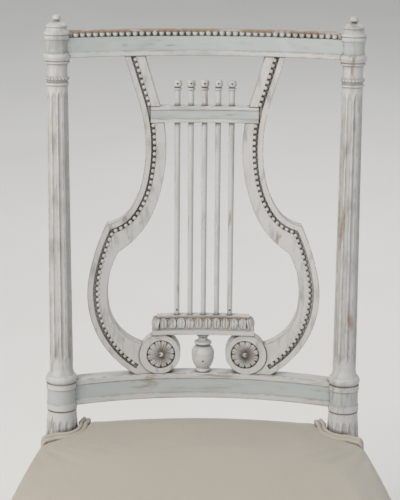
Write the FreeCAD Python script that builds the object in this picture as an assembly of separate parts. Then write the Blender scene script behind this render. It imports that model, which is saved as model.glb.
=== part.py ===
import FreeCAD, Part
import math
import os
from FreeCAD import Placement, Rotation, Vector

# Lyre back chair in the Louis XVI manner: turned posts, a carved lyre and an upholstered seat.
# Millimetres. +Z is up, the sitter faces -Y, and left and right are as seen from the front.
# The origin is on the floor, under the middle of the whole chair.

# The back, in its own leaning frame: x across, n backwards and s up from the lower rail's middle
POST_SPACING = 354.0
RAKE = 10.0
BACK_BOW = 40.0
LOWER_RAIL_RISE = 70.0
CREST_RISE = 422.7
CREST_HEIGHT = 31.3
RAIL_DEPTH = 22.0
LOWER_RAIL_TOP = 19.6
LOWER_RAIL_BOTTOM = -13.2

# Turned posts
SHAFT_TOP_RADIUS = 12.4
SHAFT_FOOT_RADIUS = 14.4
POST_COLLAR_RADIUS = 18.9
POST_STUB_RADIUS = 20.0
CAP_RADIUS = 15.5
POST_FLUTES = 10
STUB_FLUTES = 14
FLUTE_DEPTH = 1.5

# Seat frame and legs
LEG_LENGTH = 362.0
RAIL_HEIGHT = 78.0
SHOW_WOOD = 46.0
RAIL_THICKNESS = 26.0
REAR_BLOCK = 40.0
REAR_BLOCK_DEPTH = 44.0
REAR_BLOCK_RISE = 18.0
REAR_BLOCK_Y = -10.0
REAR_LEG_SPLAY = 60.0
FRONT_BLOCK = 50.0
BLOCK_CORNER = 10.0
FRONT_LEG_X = 208.0
FRONT_LEG_Y = -372.0
FRONT_BOW = 24.0
SIDE_BOW = 9.0
REAR_BOW = 14.0
LEG_TOP_RADIUS = 20.5
LEG_FOOT_RADIUS = 12.5
LEG_FLUTES = 12
FOOT_RADIUS = 12.0

# The lyre's outer edge, right half: a straight run falls from the crest to the first bend.
# Bends are (radius, turn) and straight runs are lengths.
LYRE_FIRST_BEND = (80.63, 369.18)
LYRE_TOP_HEADING = -107.1
LYRE_UPPER_BENDS = [(199.0, 29.8), (100.5, 21.3), (40.4, 49.8)]
LYRE_LOWER_HEADING = -63.9
LYRE_LOWER_EDGE = [(250.0, -15.0), (130.0, -70.0)]
# Its inner edge
LYRE_INNER_FIRST_BEND = (55.32, 363.32)
LYRE_INNER_HEADING = -106.4
LYRE_INNER_BENDS = [(199.9, 39.8), (100.8, 36.6)]
LYRE_INNER_LOWER_HEADING = -60.7
LYRE_INNER_LOWER = [(111.0, -37.4), (65.0, -57.3), 14.0]
LYRE_THICKNESS = 18.0
LYRE_FILLET = 6.8
BEAD_CHANNEL = 5.6
BEAD_CHANNEL_DEPTH = 2.4
VOLUTE_X = 54.6
VOLUTE_RADIUS = 25.8
VOLUTE_THICKNESS = 21.0
VOLUTE_SEAT = 0.4
ROSETTE_RADIUS = 18.0
ROSETTE_DEPTH = 2.6
PETALS = 12

# Crossbar, strings, plinth and vase
CROSSBAR_BELOW_CREST = 82.1
CROSSBAR_HALF_LENGTH = 67.5
CROSSBAR_HEIGHT = 20.0
CROSSBAR_DEPTH = 16.0
STRINGS = 5
STRING_PITCH = 16.7
STRING_RADIUS = 3.6
STRING_FOOT_RADIUS = 3.1
STRING_BALL_RADIUS = 5.4
STRING_BALL_BELOW_CREST = 35.1
PLINTH_HEIGHT = 23.4
PLINTH_SLAB = 6.6
PLINTH_HALF_LENGTH = 64.4
PLINTH_DEPTH = 26.0
PLINTH_FLARE = 6.6
VASE_RADIUS = 14.0

# Upholstery
PAD_CROWN = 41.0
PAD_EDGE = 26.0
OVERHANG = 8.5
COVER_THICKNESS = 1.5
WELT_CORD = 3.0
CUT_OUT_X = 143.0
CUT_OUT_RADIUS = 22.0
PAD_CORNER = 34.0
WEB_WIDTH = 50.0
WEB_THICKNESS = 1.4
WEBS_ACROSS = 5
WEBS_ALONG = 5
HESSIAN_THICKNESS = 1.2
DUST_COVER_THICKNESS = 1.0

# Joints and their clearances
TENON_LENGTH = 16.0
TENON_THICKNESS = 10.0
BACK_TENON = 12.0
FIT = 0.15
PEG_RADIUS = 3.0
SCREW_RADIUS = 2.2
CORNER_BLOCK = 88.0
CORNER_BLOCK_HEIGHT = 42.0

# What follows from those sizes
HALF = POST_SPACING / 2
BOW_RADIUS = (HALF ** 2 + BACK_BOW ** 2) / (2 * BACK_BOW)
FRAME_TOP = LEG_LENGTH + RAIL_HEIGHT
BREAK_Z = FRAME_TOP + LOWER_RAIL_RISE
CREST_TOP = CREST_RISE + CREST_HEIGHT
CROSSBAR_BOTTOM = CREST_RISE - CROSSBAR_BELOW_CREST
STRING_BALL_S = CREST_RISE - STRING_BALL_BELOW_CREST
SHOW_TOP = LEG_LENGTH + SHOW_WOOD
FAR = 400.0

PARTS = {}


def polar(angle, length=1.0):
    turn = math.radians(angle)
    return length * math.cos(turn), length * math.sin(turn)


def outline(points, place):
    """Closed wire through (u, v) or (u, v, bulge): a bulge swells the edge that arrives there."""
    edges = []
    for before, point in zip(points[-1:] + points[:-1], points):
        a, b = place(*before[:2]), place(*point[:2])
        if len(point) == 3:
            du, dv = point[0] - before[0], point[1] - before[1]
            reach = point[2] / math.hypot(du, dv)
            middle = place((point[0] + before[0]) / 2 + dv * reach, (point[1] + before[1]) / 2 - du * reach)
            edges.append(Part.Arc(a, middle, b).toShape())
        else:
            edges.append(Part.makeLine(a, b))
    return Part.Wire(edges)


def turned(profile):
    """Solid of revolution about Z from a list of (radius, height) points, from the bottom up."""
    points = [(0.0, profile[0][1])] + list(profile) + [(0.0, profile[-1][1])]
    face = Part.Face(outline(points, lambda r, z: Vector(r, 0, z)))
    return face.revolve(Vector(0, 0, 0), Vector(0, 0, 1), 360)


def prism(points, low, high):
    """Upright prism on a plan outline."""
    face = Part.Face(outline(points, lambda x, y: Vector(x, y, low)))
    return face.extrude(Vector(0, 0, high - low))


def block(x, y, wide, deep, low, high):
    return Part.makeBox(wide, deep, high - low, Vector(x - wide / 2, y - deep / 2, low))


def bent(section, start, end, sagitta, overrun=0.0):
    """Section of (outward offset, z) points carried round an arc that swells to the left."""
    ax, ay = start
    bx, by = end
    chord = math.hypot(bx - ax, by - ay)
    radius = (chord ** 2 / 4 + sagitta ** 2) / (2 * sagitta)
    left = Vector(-(by - ay) / chord, (bx - ax) / chord, 0)
    centre = Vector((ax + bx) / 2, (ay + by) / 2, 0) - left * (radius - sagitta)
    half_angle = math.degrees(math.asin(chord / 2 / radius)) + math.degrees(overrun / radius)
    out = Rotation(Vector(0, 0, 1), half_angle).multVec(left)
    face = Part.Face(outline(section, lambda o, z: centre + out * (radius + o) + Vector(0, 0, z)))
    return face.revolve(centre, Vector(0, 0, -1), 2 * half_angle)


def slab(inner, outer, low, high):
    return [(inner, low), (outer, low), (outer, high), (inner, high)]


def bowed(section, half_length):
    """A piece that follows the back's bow, in the back's frame."""
    drop = math.sqrt(BOW_RADIUS ** 2 - half_length ** 2) - (BOW_RADIUS - BACK_BOW)
    return bent(section, (-half_length, drop), (half_length, drop), BACK_BOW - drop)


def bow_at(x):
    """How far back the middle surface of the bow lies at x."""
    return math.sqrt(BOW_RADIUS ** 2 - x ** 2) - (BOW_RADIUS - BACK_BOW)


def trace(start, heading, moves, aside=0.0):
    """Edges of a path of straight runs and bends, moved to its right by aside, and its end."""
    x, s = start
    edges = []

    def beside(px, ps, angle, reach):
        c, d = polar(angle, reach)
        return Vector(px + d, 0, ps - c)

    for move in moves:
        if isinstance(move, tuple):
            radius, turn = move
            side = 1 if turn > 0 else -1
            c, d = polar(heading, side * radius)
            cx, cs = x - d, s + c
            arc = [beside(cx, cs, heading + turn * part, side * radius + aside) for part in (0, 0.5, 1)]
            edges.append(Part.Arc(*arc).toShape())
            heading += turn
            c, d = polar(heading, side * radius)
            x, s = cx + d, cs - c
        else:
            dx, ds = polar(heading, move)
            first = beside(x, s, heading, aside)
            x, s = x + dx, s + ds
            edges.append(Part.makeLine(first, beside(x, s, heading, aside)))
    return edges, (x, s), heading


def between(near, far):
    """Face between two paths that run the same way."""
    near_start, near_end = near[0].firstVertex(True).Point, near[-1].lastVertex(True).Point
    far_start, far_end = far[0].firstVertex(True).Point, far[-1].lastVertex(True).Point
    edges = near + [Part.makeLine(near_end, far_end)] + far + [Part.makeLine(far_start, near_start)]
    return Part.Face(Part.Wire(Part.sortEdges(edges)[0]))


def through(face):
    """A face of the back's x-s plane, carried right through from front to back."""
    face = face.copy()
    face.translate(Vector(0, -FAR, 0))
    return face.extrude(Vector(0, 2 * FAR, 0))


def beyond(a, b):
    """Everything to the left of the line from a to b, through the whole back."""
    ax, ay = a
    bx, by = b
    length = math.hypot(bx - ax, by - ay)
    dx, dy = (bx - ax) / length * FAR, (by - ay) / length * FAR
    points = [(ax - dx, ay - dy), (bx + dx, by + dy), (bx + dx - dy, by + dy + dx), (ax - dx - dy, ay - dy + dx)]
    return through(Part.Face(outline(points, lambda x, s: Vector(x, 0, s))))


def mirrored(shape):
    return shape.mirror(Vector(0, 0, 0), Vector(1, 0, 0))


def lean(shape):
    """From the back's own frame to the chair's."""
    shape.Placement = Placement(Vector(0, 0, BREAK_Z), Rotation(Vector(1, 0, 0), -RAKE)).multiply(shape.Placement)
    return shape


def joined(first, *others):
    return first.fuse(list(others)).removeSplitter()


def flutes(count, low, high, low_radius, high_radius, width, depth, phase):
    """Gouge cuts up a tapered shaft, pointed at both ends."""
    gouge = (width ** 2 / 4 + depth ** 2) / (2 * depth)
    tip = 3.5 * gouge
    length = high - low
    lens = turned([(0.02, 0), (gouge, tip, 0.6), (gouge, length - tip), (0.02, length, 0.6)])
    stand = gouge - depth
    slope = math.degrees(math.atan2(low_radius - high_radius, length))
    lens.Placement = Placement(Vector(low_radius + stand, 0, low), Rotation(Vector(0, 1, 0), -slope))
    cuts = []
    for number in range(count):
        cut = lens.copy()
        spin = Placement(Vector(0, 0, 0), Rotation(Vector(0, 0, 1), phase + number * 360.0 / count))
        cut.Placement = spin.multiply(cut.Placement)
        cuts.append(cut)
    return cuts


def flute_width(count, radius):
    """Flutes take two thirds of the way round and the ridges between them the rest."""
    return 0.66 * 2 * math.pi * radius / count


def post_turning():
    """The post above the seat, on its own upright axis, from the stub to the cap's seat."""
    collar, cap = POST_COLLAR_RADIUS, CAP_RADIUS
    crest_middle = CREST_RISE + CREST_HEIGHT / 2
    shaft_top = crest_middle - 48.6
    profile = [
        (POST_STUB_RADIUS, STUB_BOTTOM),
        (POST_STUB_RADIUS, LOWER_RAIL_BOTTOM - 38.0),
        (collar - 0.8, LOWER_RAIL_BOTTOM - 6.2),
        (collar - 1.6, LOWER_RAIL_BOTTOM - 5.2),
        (collar, LOWER_RAIL_BOTTOM - 4.2),
        (collar, LOWER_RAIL_BOTTOM + 3.2),
        (collar - 0.9, LOWER_RAIL_BOTTOM + 4.2),
        (collar - 0.9, LOWER_RAIL_TOP - 10.6),
        (collar, LOWER_RAIL_TOP - 9.8),
        (collar, LOWER_RAIL_TOP - 3.4),
        (collar - 1.2, LOWER_RAIL_TOP - 2.5),
        (collar - 1.2, LOWER_RAIL_TOP + 6.9, 1.9),
        (SHAFT_FOOT_RADIUS + 1.8, LOWER_RAIL_TOP + 8.2),
        (SHAFT_FOOT_RADIUS, LOWER_RAIL_TOP + 21.0, -0.9),
        (SHAFT_TOP_RADIUS, shaft_top),
        (SHAFT_TOP_RADIUS + 1.0, shaft_top + 0.8),
        (SHAFT_TOP_RADIUS + 1.0, shaft_top + 3.6, 0.7),
        (SHAFT_TOP_RADIUS, shaft_top + 4.6),
        (SHAFT_TOP_RADIUS, shaft_top + 6.0),
        (SHAFT_TOP_RADIUS, shaft_top + 11.0, 1.3),
        (SHAFT_TOP_RADIUS + 0.2, shaft_top + 25.6, -0.5),
        (cap - 1.2, shaft_top + 26.6),
        (cap - 1.2, shaft_top + 29.4, 0.8),
        (cap - 0.5, shaft_top + 30.4),
        (cap + 0.6, CREST_RISE + 0.2),
        (cap + 0.6, CREST_RISE + 5.2, 0.7),
        (cap - 1.6, CREST_RISE + 6.8),
        (cap - 1.4, CREST_TOP - 9.8, -0.7),
        (cap - 0.6, CREST_TOP - 9.0),
        (cap - 0.6, CREST_TOP - 3.8, 0.6),
    ]
    solid = turned(profile)
    width = flute_width(POST_FLUTES, SHAFT_FOOT_RADIUS)
    low, high = LOWER_RAIL_TOP + 21.5, shaft_top - 1.0
    shaft = flutes(POST_FLUTES, low, high, SHAFT_FOOT_RADIUS, SHAFT_TOP_RADIUS, width, FLUTE_DEPTH, -90 + 180 / POST_FLUTES)
    width = flute_width(STUB_FLUTES, POST_STUB_RADIUS)
    low, high = STUB_BOTTOM - 12.0, LOWER_RAIL_BOTTOM - 9.0
    stub = flutes(STUB_FLUTES, low, high, POST_STUB_RADIUS, POST_STUB_RADIUS - 1.0, width, FLUTE_DEPTH, -90.0)
    return solid, solid.cut(shaft + stub)


def leg_turning(length, top_radius, foot_radius, flute_count):
    """A fluted leg hanging from its block's underside, with its axis on Z and its foot at -length."""
    shaft_low, shaft_high = 40.0 - length, -34.0
    profile = [
        (FOOT_RADIUS, -length),
        (FOOT_RADIUS + 3.0, 14.0 - length, 1.4),
        (FOOT_RADIUS - 1.5, 24.0 - length, 0.8),
        (foot_radius - 2.0, 28.0 - length),
        (foot_radius + 2.0, 29.5 - length),
        (foot_radius + 2.0, 33.5 - length, 1.2),
        (foot_radius, 35.0 - length),
        (foot_radius, shaft_low),
        (top_radius, shaft_high),
        (top_radius - 3.0, shaft_high + 3.0, 1.0),
        (top_radius - 3.0, shaft_high + 5.0),
        (top_radius - 0.5, shaft_high + 5.5),
        (top_radius - 0.5, shaft_high + 9.5, 1.4),
        (top_radius - 3.5, shaft_high + 10.5),
        (top_radius - 1.0, shaft_high + 21.5, -2.4),
        (top_radius + 1.0, shaft_high + 22.5),
        (top_radius + 1.0, shaft_high + 28.5, 2.0),
        (top_radius - 1.0, shaft_high + 29.5),
        (top_radius - 1.0, 0.0),
    ]
    width = flute_width(flute_count, foot_radius)
    cuts = flutes(flute_count, shaft_low + 8.0, shaft_high - 6.0, foot_radius, top_radius, width, FLUTE_DEPTH, 90.0 / flute_count)
    return turned(profile).cut(cuts)


STUB_BOTTOM = -(LOWER_RAIL_RISE - REAR_BLOCK_RISE) - 12.0


def rail_section(thickness):
    """Seat rail: a bead along the foot, a sunk field, a lip, and a rebate for the cover's edge."""
    bottom = LEG_LENGTH
    return [
        (-thickness, bottom), (-1.5, bottom), (-1.5, bottom + 7.0, 1.2), (-2.5, bottom + 7.5),
        (-2.5, SHOW_TOP - 9.0), (-0.2, SHOW_TOP - 5.0, -1.0), (-0.2, SHOW_TOP - 1.0),
        (-2.5, SHOW_TOP), (-2.5, FRAME_TOP), (-thickness, FRAME_TOP),
    ]


# Plan of the seat frame: where each rail's outer face starts and ends
REAR_OUT = HALF + REAR_BLOCK / 2
REAR_FRONT_Y = REAR_BLOCK_Y - REAR_BLOCK_DEPTH / 2
REAR_BACK_Y = REAR_BLOCK_Y + REAR_BLOCK_DEPTH / 2
FRONT_OUT = FRONT_LEG_X + FRONT_BLOCK / 2
FRONT_IN = FRONT_LEG_X - FRONT_BLOCK / 2
FRONT_FACE_Y = FRONT_LEG_Y - FRONT_BLOCK / 2
FRONT_BACK_Y = FRONT_LEG_Y + FRONT_BLOCK / 2
SIDE_RUN = ((REAR_OUT, REAR_FRONT_Y), (FRONT_OUT, FRONT_BACK_Y), SIDE_BOW)
FRONT_RUN = ((FRONT_IN, FRONT_FACE_Y), (-FRONT_IN, FRONT_FACE_Y), FRONT_BOW)
REAR_RUN = ((-(HALF - REAR_BLOCK / 2), REAR_BACK_Y), (HALF - REAR_BLOCK / 2, REAR_BACK_Y), REAR_BOW)
CUT_OUT_Y = REAR_FRONT_Y - 4.5 * WELT_CORD


def seat_side_slabs(inner, outer, low, high, spill):
    """The four runs of the frame as plain slabs between two offsets from its outer face."""
    side = bent(slab(inner, outer, low, high), *SIDE_RUN, spill)
    front = bent(slab(inner, outer, low, high), *FRONT_RUN, spill)
    rear = bent(slab(inner, outer, low, high), *REAR_RUN, spill)
    return [side, mirrored(side), front, rear]


def floor_of_seat(inset, low, high):
    """Everything inside the frame's outer face, less an inset, between two heights."""
    whole = Part.makeBox(2 * FAR, 2 * FAR, high - low, Vector(-FAR, FRONT_FACE_Y - FAR / 2, low))
    middle = Vector(0, (FRONT_FACE_Y + REAR_BACK_Y) / 2, (low + high) / 2)
    pieces = whole.cut(seat_side_slabs(-inset, FAR * 0.8, low - 1, high + 1, FAR * 0.25)).Solids
    return next(piece for piece in pieces if piece.isInside(middle, 0.01, False))


def tenon(x, y, low, high, length, thickness, heading, grow=0.0):
    """A tenon that starts at (x, y) and runs along a plan heading."""
    box = Part.makeBox(2 * length + grow, thickness + 2 * grow, high - low + 2 * grow, Vector(-length, -thickness / 2 - grow, low - grow))
    box.Placement = Placement(Vector(x, y, 0), Rotation(Vector(0, 0, 1), heading))
    return box


def front_leg_block():
    """The cube at the head of a front leg, with its outer corner rounded for the cover."""
    cube = block(FRONT_LEG_X, FRONT_LEG_Y, FRONT_BLOCK, FRONT_BLOCK, LEG_LENGTH, FRAME_TOP)
    corner = Vector(FRONT_OUT, FRONT_FACE_Y, LEG_LENGTH + RAIL_HEIGHT / 2)
    edge = min(cube.Edges, key=lambda side: side.CenterOfMass.distanceToPoint(corner))
    return cube.makeFillet(BLOCK_CORNER, [edge])


def seat_frame():
    """Posts, legs and seat rails, tenoned and pegged."""
    blank, fluted = post_turning()
    blank.translate(Vector(HALF, 0, 0))
    fluted.translate(Vector(HALF, 0, 0))
    blocks_low, blocks_high = LEG_LENGTH, FRAME_TOP + REAR_BLOCK_RISE
    rear_block = block(HALF, REAR_BLOCK_Y, REAR_BLOCK, REAR_BLOCK_DEPTH, blocks_low, blocks_high)
    splay = math.degrees(math.atan2(REAR_LEG_SPLAY, LEG_LENGTH))
    length = LEG_LENGTH / math.cos(math.radians(splay)) + FOOT_RADIUS
    rear_leg = leg_turning(length, LEG_TOP_RADIUS - 1.5, LEG_FOOT_RADIUS, LEG_FLUTES)
    rear_leg.Placement = Placement(Vector(HALF, REAR_BLOCK_Y, LEG_LENGTH + 3.0), Rotation(Vector(1, 0, 0), splay))
    rear_leg = rear_leg.cut(block(HALF, 0, FAR, FAR, -FAR, 0.0))
    front_block = front_leg_block()
    front_leg = leg_turning(LEG_LENGTH, LEG_TOP_RADIUS, LEG_FOOT_RADIUS, LEG_FLUTES)
    front_leg.translate(Vector(FRONT_LEG_X, FRONT_LEG_Y, LEG_LENGTH))

    section = rail_section(RAIL_THICKNESS)
    side = bent(section, *SIDE_RUN)
    front = bent(section, *FRONT_RUN, FRONT_BLOCK / 2).cut([front_block, mirrored(front_block)])
    rear = bent(section, *REAR_RUN, REAR_BLOCK / 4).cut([rear_block, mirrored(rear_block)])
    low, high = LEG_LENGTH + 14.0, FRAME_TOP - 12.0
    tenons = {
        "side_rear": (REAR_OUT - RAIL_THICKNESS / 2, REAR_FRONT_Y, low, high, TENON_LENGTH, TENON_THICKNESS, 90.0),
        "side_front": (FRONT_OUT - RAIL_THICKNESS / 2, FRONT_BACK_Y, low, high, TENON_LENGTH, TENON_THICKNESS, 90.0),
        "front": (FRONT_IN, FRONT_FACE_Y + RAIL_THICKNESS / 2, low, high, TENON_LENGTH, TENON_THICKNESS, 0.0),
        "rear": (HALF - REAR_BLOCK / 2, REAR_BACK_Y - RAIL_THICKNESS / 2, low, high, TENON_LENGTH, TENON_THICKNESS, 0.0),
    }
    tongue = {name: tenon(*place) for name, place in tenons.items()}
    mortise = {name: tenon(*place, FIT) for name, place in tenons.items()}
    side = joined(side, tongue["side_rear"], tongue["side_front"])
    front = joined(front, tongue["front"], mirrored(tongue["front"]))
    rear = joined(rear, tongue["rear"], mirrored(tongue["rear"]))

    blank = lean(blank)
    head = joined(blank, rear_block)
    post = joined(lean(fluted), rear_block, rear_leg)
    post = post.cut([mortise["side_rear"], mortise["rear"]])
    leg = joined(front_block, front_leg).cut([mortise["side_front"], mortise["front"]])
    return blank, head, post, leg, side, front, rear


def pegs():
    """Pegs that lock the seat rails' tenons, driven from inside the frame."""
    height = LEG_LENGTH + RAIL_HEIGHT * 0.5
    depth = 0.5 * REAR_BLOCK
    near = TENON_LENGTH / 2
    places = [
        (HALF - REAR_BLOCK / 2 + near, REAR_FRONT_Y, 90.0),
        (HALF - REAR_BLOCK / 2, REAR_FRONT_Y + near, 0.0),
        (FRONT_IN, FRONT_BACK_Y - near, 0.0),
        (FRONT_IN + near, FRONT_BACK_Y, -90.0),
    ]
    result = []
    for x, y, heading in places:
        peg = Part.makeCylinder(PEG_RADIUS, depth * 1.4)
        turn = Rotation(Vector(0, 0, 1), heading).multiply(Rotation(Vector(0, 1, 0), 90))
        peg.Placement = Placement(Vector(x, y, height), turn)
        result += [peg, mirrored(peg)]
    return result


def crest_and_lower_rail(blank):
    """The two bowed rails of the back, scribed to the posts and tenoned into them."""
    front = -RAIL_DEPTH / 2
    back = RAIL_DEPTH / 2
    bottom, top = CREST_RISE, CREST_TOP
    crest_section = [
        (front, bottom + 0.8), (front + 0.8, bottom), (back - 1.5, bottom), (back, bottom + 1.5, 0.4),
        (back, top - 2.5), (back - 2.5, top, 0.7), (front + 6.0, top), (front + 3.6, top - 1.6, 0.3),
        (front + 3.6, top - 7.0), (front + 1.2, top - 7.4), (front + 1.2, bottom + 6.6), (front, bottom + 5.6),
    ]
    bottom, top = LOWER_RAIL_BOTTOM, LOWER_RAIL_TOP
    lower_section = [
        (front, bottom + 0.8), (front + 0.8, bottom), (back - 1.5, bottom), (back, bottom + 1.5),
        (back, top - 1.5), (back - 1.5, top), (front + 1.0, top), (front, top - 1.0, 0.3),
        (front, top - 6.6), (front + 1.2, top - 7.4), (front + 1.2, bottom + 7.2), (front, bottom + 6.4),
    ]
    rails = []
    mortises = []
    for section, low, high in ((crest_section, CREST_RISE, CREST_TOP), (lower_section, LOWER_RAIL_BOTTOM, LOWER_RAIL_TOP)):
        rail = lean(bowed(section, HALF - 1.0)).cut([blank, mirrored(blank)])
        heading = -math.degrees(math.asin(HALF / BOW_RADIUS))
        inset = 6.0
        place = (HALF - POST_COLLAR_RADIUS * 0.7, bow_at(HALF - POST_COLLAR_RADIUS * 0.7), low + inset, high - inset, BACK_TENON, TENON_THICKNESS * 0.8, heading)
        tongue = lean(tenon(*place))
        mortises.append(lean(tenon(*place, FIT)))
        rails.append(joined(rail, tongue, mirrored(tongue)))
    return rails[0], rails[1], mortises


def rosette(radius, depth, petals):
    """A sunk flower in a round dish: returns the dish to cut and the flower to put back, facing -Y."""
    dish = Part.makeCylinder(radius, depth + 20.0)
    flower = turned([(radius - 1.6, 0), (radius - 2.2, depth * 0.75, 0.3), (radius * 0.34, depth * 0.35, -0.4), (radius * 0.26, depth, 0.5), (0.02, depth + 0.8, 0.5)])
    cuts = []
    for number in range(petals):
        cut = Part.makeCone(0.3, radius * 0.09, radius)
        aim = Rotation(Vector(0, 0, 1), number * 360.0 / petals).multiply(Rotation(Vector(0, 1, 0), 92))
        cut.Placement = Placement(Vector(0, 0, depth * 0.9), aim)
        cuts.append(cut)
    core = Part.makeCylinder(radius * 0.3, depth + 5.0)
    flower = flower.cut([cut.cut(core) for cut in cuts])
    return dish, flower


def facing_front(shape, x, s, surface):
    """Turns a piece that faces +Z to face the front, square to the bow, in the back's frame."""
    swing = -math.degrees(math.asin(x / BOW_RADIUS))
    aim = Rotation(Vector(0, 0, 1), swing).multiply(Rotation(Vector(1, 0, 0), 90))
    dx, dn = polar(90.0 + swing, BOW_RADIUS + surface)
    shape.Placement = Placement(Vector(dx, dn - (BOW_RADIUS - BACK_BOW), s), aim).multiply(shape.Placement)
    return shape


def lyre_arm(crossbar_slot):
    """Right arm: a flat outer fillet, a sunk channel for beads, a wide inner band and the volute."""
    front = -LYRE_THICKNESS / 2
    reach = 24.0
    plate = bowed(slab(front, -front, LOWER_RAIL_TOP, CREST_RISE), HALF)
    top, run = fall_from_crest(LYRE_FIRST_BEND, LYRE_TOP_HEADING)
    inner_top, inner_run = fall_from_crest(LYRE_INNER_FIRST_BEND, LYRE_INNER_HEADING)
    upper_edge = [run] + LYRE_UPPER_BENDS + [reach]
    outer, tip, heading = trace(top, LYRE_TOP_HEADING, upper_edge)
    inner, inner_end, inner_heading = trace(inner_top, LYRE_INNER_HEADING, [inner_run] + LYRE_INNER_BENDS + [reach])
    c, d = polar(heading, reach)
    tip = (tip[0] - c, tip[1] - d)
    c, d = polar(inner_heading, reach)
    inner_tip = (inner_end[0] - c, inner_end[1] - d)
    above = beyond(inner_tip, tip)
    below = beyond(tip, inner_tip)
    upper = plate.common(through(between(outer, inner))).common(above)

    c, d = polar(LYRE_LOWER_HEADING, -reach)
    low_start = (tip[0] + c, tip[1] + d)
    c, d = polar(LYRE_INNER_LOWER_HEADING, -reach)
    low_inner_start = (inner_tip[0] + c, inner_tip[1] + d)
    outer, outer_end, _ = trace(low_start, LYRE_LOWER_HEADING, [reach] + LYRE_LOWER_EDGE)
    inner, inner_end, _ = trace(low_inner_start, LYRE_INNER_LOWER_HEADING, [reach] + LYRE_INNER_LOWER)
    foot = [
        Part.makeLine(outer[-1].lastVertex(True).Point, Vector(VOLUTE_X, 0, outer_end[1])),
        Part.makeLine(Vector(VOLUTE_X, 0, outer_end[1]), Vector(VOLUTE_X, 0, inner_end[1])),
        Part.makeLine(Vector(VOLUTE_X, 0, inner_end[1]), inner[-1].lastVertex(True).Point),
    ]
    across = [Part.makeLine(inner[0].firstVertex(True).Point, outer[0].firstVertex(True).Point)]
    face = Part.Face(Part.Wire(Part.sortEdges(outer + foot + inner + across)[0]))
    lower = plate.common(through(face)).common(below)

    cutters = []
    beads_in = LYRE_FILLET + BEAD_CHANNEL
    shelf = bowed(slab(front - 20.0, front + BEAD_CHANNEL_DEPTH, LOWER_RAIL_TOP - 1, CREST_TOP), HALF)
    corner_c, corner_d = polar((heading + LYRE_LOWER_HEADING) / 2 - 90.0, 10.0)
    corner = (tip[0] + corner_c, tip[1] + corner_d)
    for start, aim, moves, keep in (
        (top, LYRE_TOP_HEADING, upper_edge, beyond(corner, tip)),
        (low_start, LYRE_LOWER_HEADING, [reach] + LYRE_LOWER_EDGE[:-1] + [(LYRE_LOWER_EDGE[-1][0], LYRE_LOWER_EDGE[-1][1] + 4.0)], beyond(tip, corner)),
    ):
        near, _, _ = trace(start, aim, moves, LYRE_FILLET)
        far, _, _ = trace(start, aim, moves, beads_in)
        cutters.append(shelf.common(through(between(near, far))).common(keep))

    centre_s = LOWER_RAIL_TOP + VOLUTE_RADIUS - VOLUTE_SEAT
    half_volute = VOLUTE_THICKNESS / 2
    disc = Part.makeCylinder(VOLUTE_RADIUS, 2 * FAR, Vector(VOLUTE_X, -FAR, centre_s), Vector(0, 1, 0))
    thick = bowed(slab(-half_volute, half_volute, LOWER_RAIL_TOP, centre_s + 2 * VOLUTE_RADIUS), HALF)
    volute = thick.common(disc)
    dish, flower = rosette(ROSETTE_RADIUS, ROSETTE_DEPTH, PETALS)
    at = -half_volute + ROSETTE_DEPTH
    arm = upper.fuse([lower]).cut(cutters)
    arm = arm.fuse([volute]).removeSplitter()
    arm = arm.cut([facing_front(dish, VOLUTE_X, centre_s, at)]).fuse([facing_front(flower, VOLUTE_X, centre_s, at + 0.01)])
    arm = arm.cut(crossbar_slot)

    peg_x = (top[0] + inner_top[0]) / 2
    dowels = []
    holes = []
    for x, s in ((peg_x, CREST_RISE), (VOLUTE_X, LOWER_RAIL_TOP)):
        for grow, group in ((0.0, dowels), (FIT, holes)):
            group.append(Part.makeCylinder(4.0 + grow, 2 * (BACK_TENON - 2.0 + grow), Vector(x, bow_at(x), s - BACK_TENON + 2.0 - grow), Vector(0, 0, 1)))
    return joined(arm, *dowels), holes


def fall_from_crest(bend, heading):
    """Where the straight run to a bend leaves the crest, and how long it is."""
    fall = CREST_RISE - bend[1]
    c, d = polar(heading, fall / math.sin(math.radians(-heading)))
    return (bend[0] - c, CREST_RISE), math.hypot(c, d)


def string_places():
    middle = (STRINGS - 1) / 2
    return [(number - middle) * STRING_PITCH for number in range(STRINGS)]


def lyre_crossbar(grow=0.0):
    """The yoke between the arms: a sunk field between two beads, housed in the arms' faces."""
    front = -LYRE_THICKNESS / 2
    back = front + CROSSBAR_DEPTH
    bottom, top = CROSSBAR_BOTTOM, CROSSBAR_BOTTOM + CROSSBAR_HEIGHT
    end = CROSSBAR_HALF_LENGTH
    if grow:
        return bowed(slab(front - 5.0, back + grow, bottom - grow, top + grow), end + grow)
    section = [
        (front, bottom), (back, bottom), (back, top), (front + 0.8, top), (front, top - 0.8), (front, top - 4.0),
        (front + 1.2, top - 5.0), (front + 1.2, bottom + 5.0), (front, bottom + 4.0),
    ]
    bar = bowed(section, end)
    holes = [
        Part.makeCylinder(STRING_RADIUS + FIT, 2 * CROSSBAR_HEIGHT, Vector(x, bow_at(x), bottom - CROSSBAR_HEIGHT / 2))
        for x in string_places()
    ]
    return bar.cut(holes)


def lyre_string():
    """A tapered rod with a collar and a ball, standing on the plinth's top."""
    foot = PLINTH_TOP - 8.0
    ball_low = STRING_BALL_S - STRING_BALL_RADIUS * 0.85
    profile = [
        (STRING_FOOT_RADIUS, foot), (STRING_RADIUS, ball_low - 3.4), (STRING_BALL_RADIUS - 0.8, ball_low - 3.0),
        (STRING_BALL_RADIUS - 0.8, ball_low - 0.6, 0.6), (STRING_RADIUS - 0.8, ball_low),
        (STRING_BALL_RADIUS, STRING_BALL_S, 1.2), (0.6, STRING_BALL_S + STRING_BALL_RADIUS, 2.0),
    ]
    return turned(profile)


PLINTH_BOTTOM = LOWER_RAIL_TOP + 2 * VOLUTE_RADIUS - VOLUTE_SEAT
PLINTH_TOP = PLINTH_BOTTOM + PLINTH_HEIGHT


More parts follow.
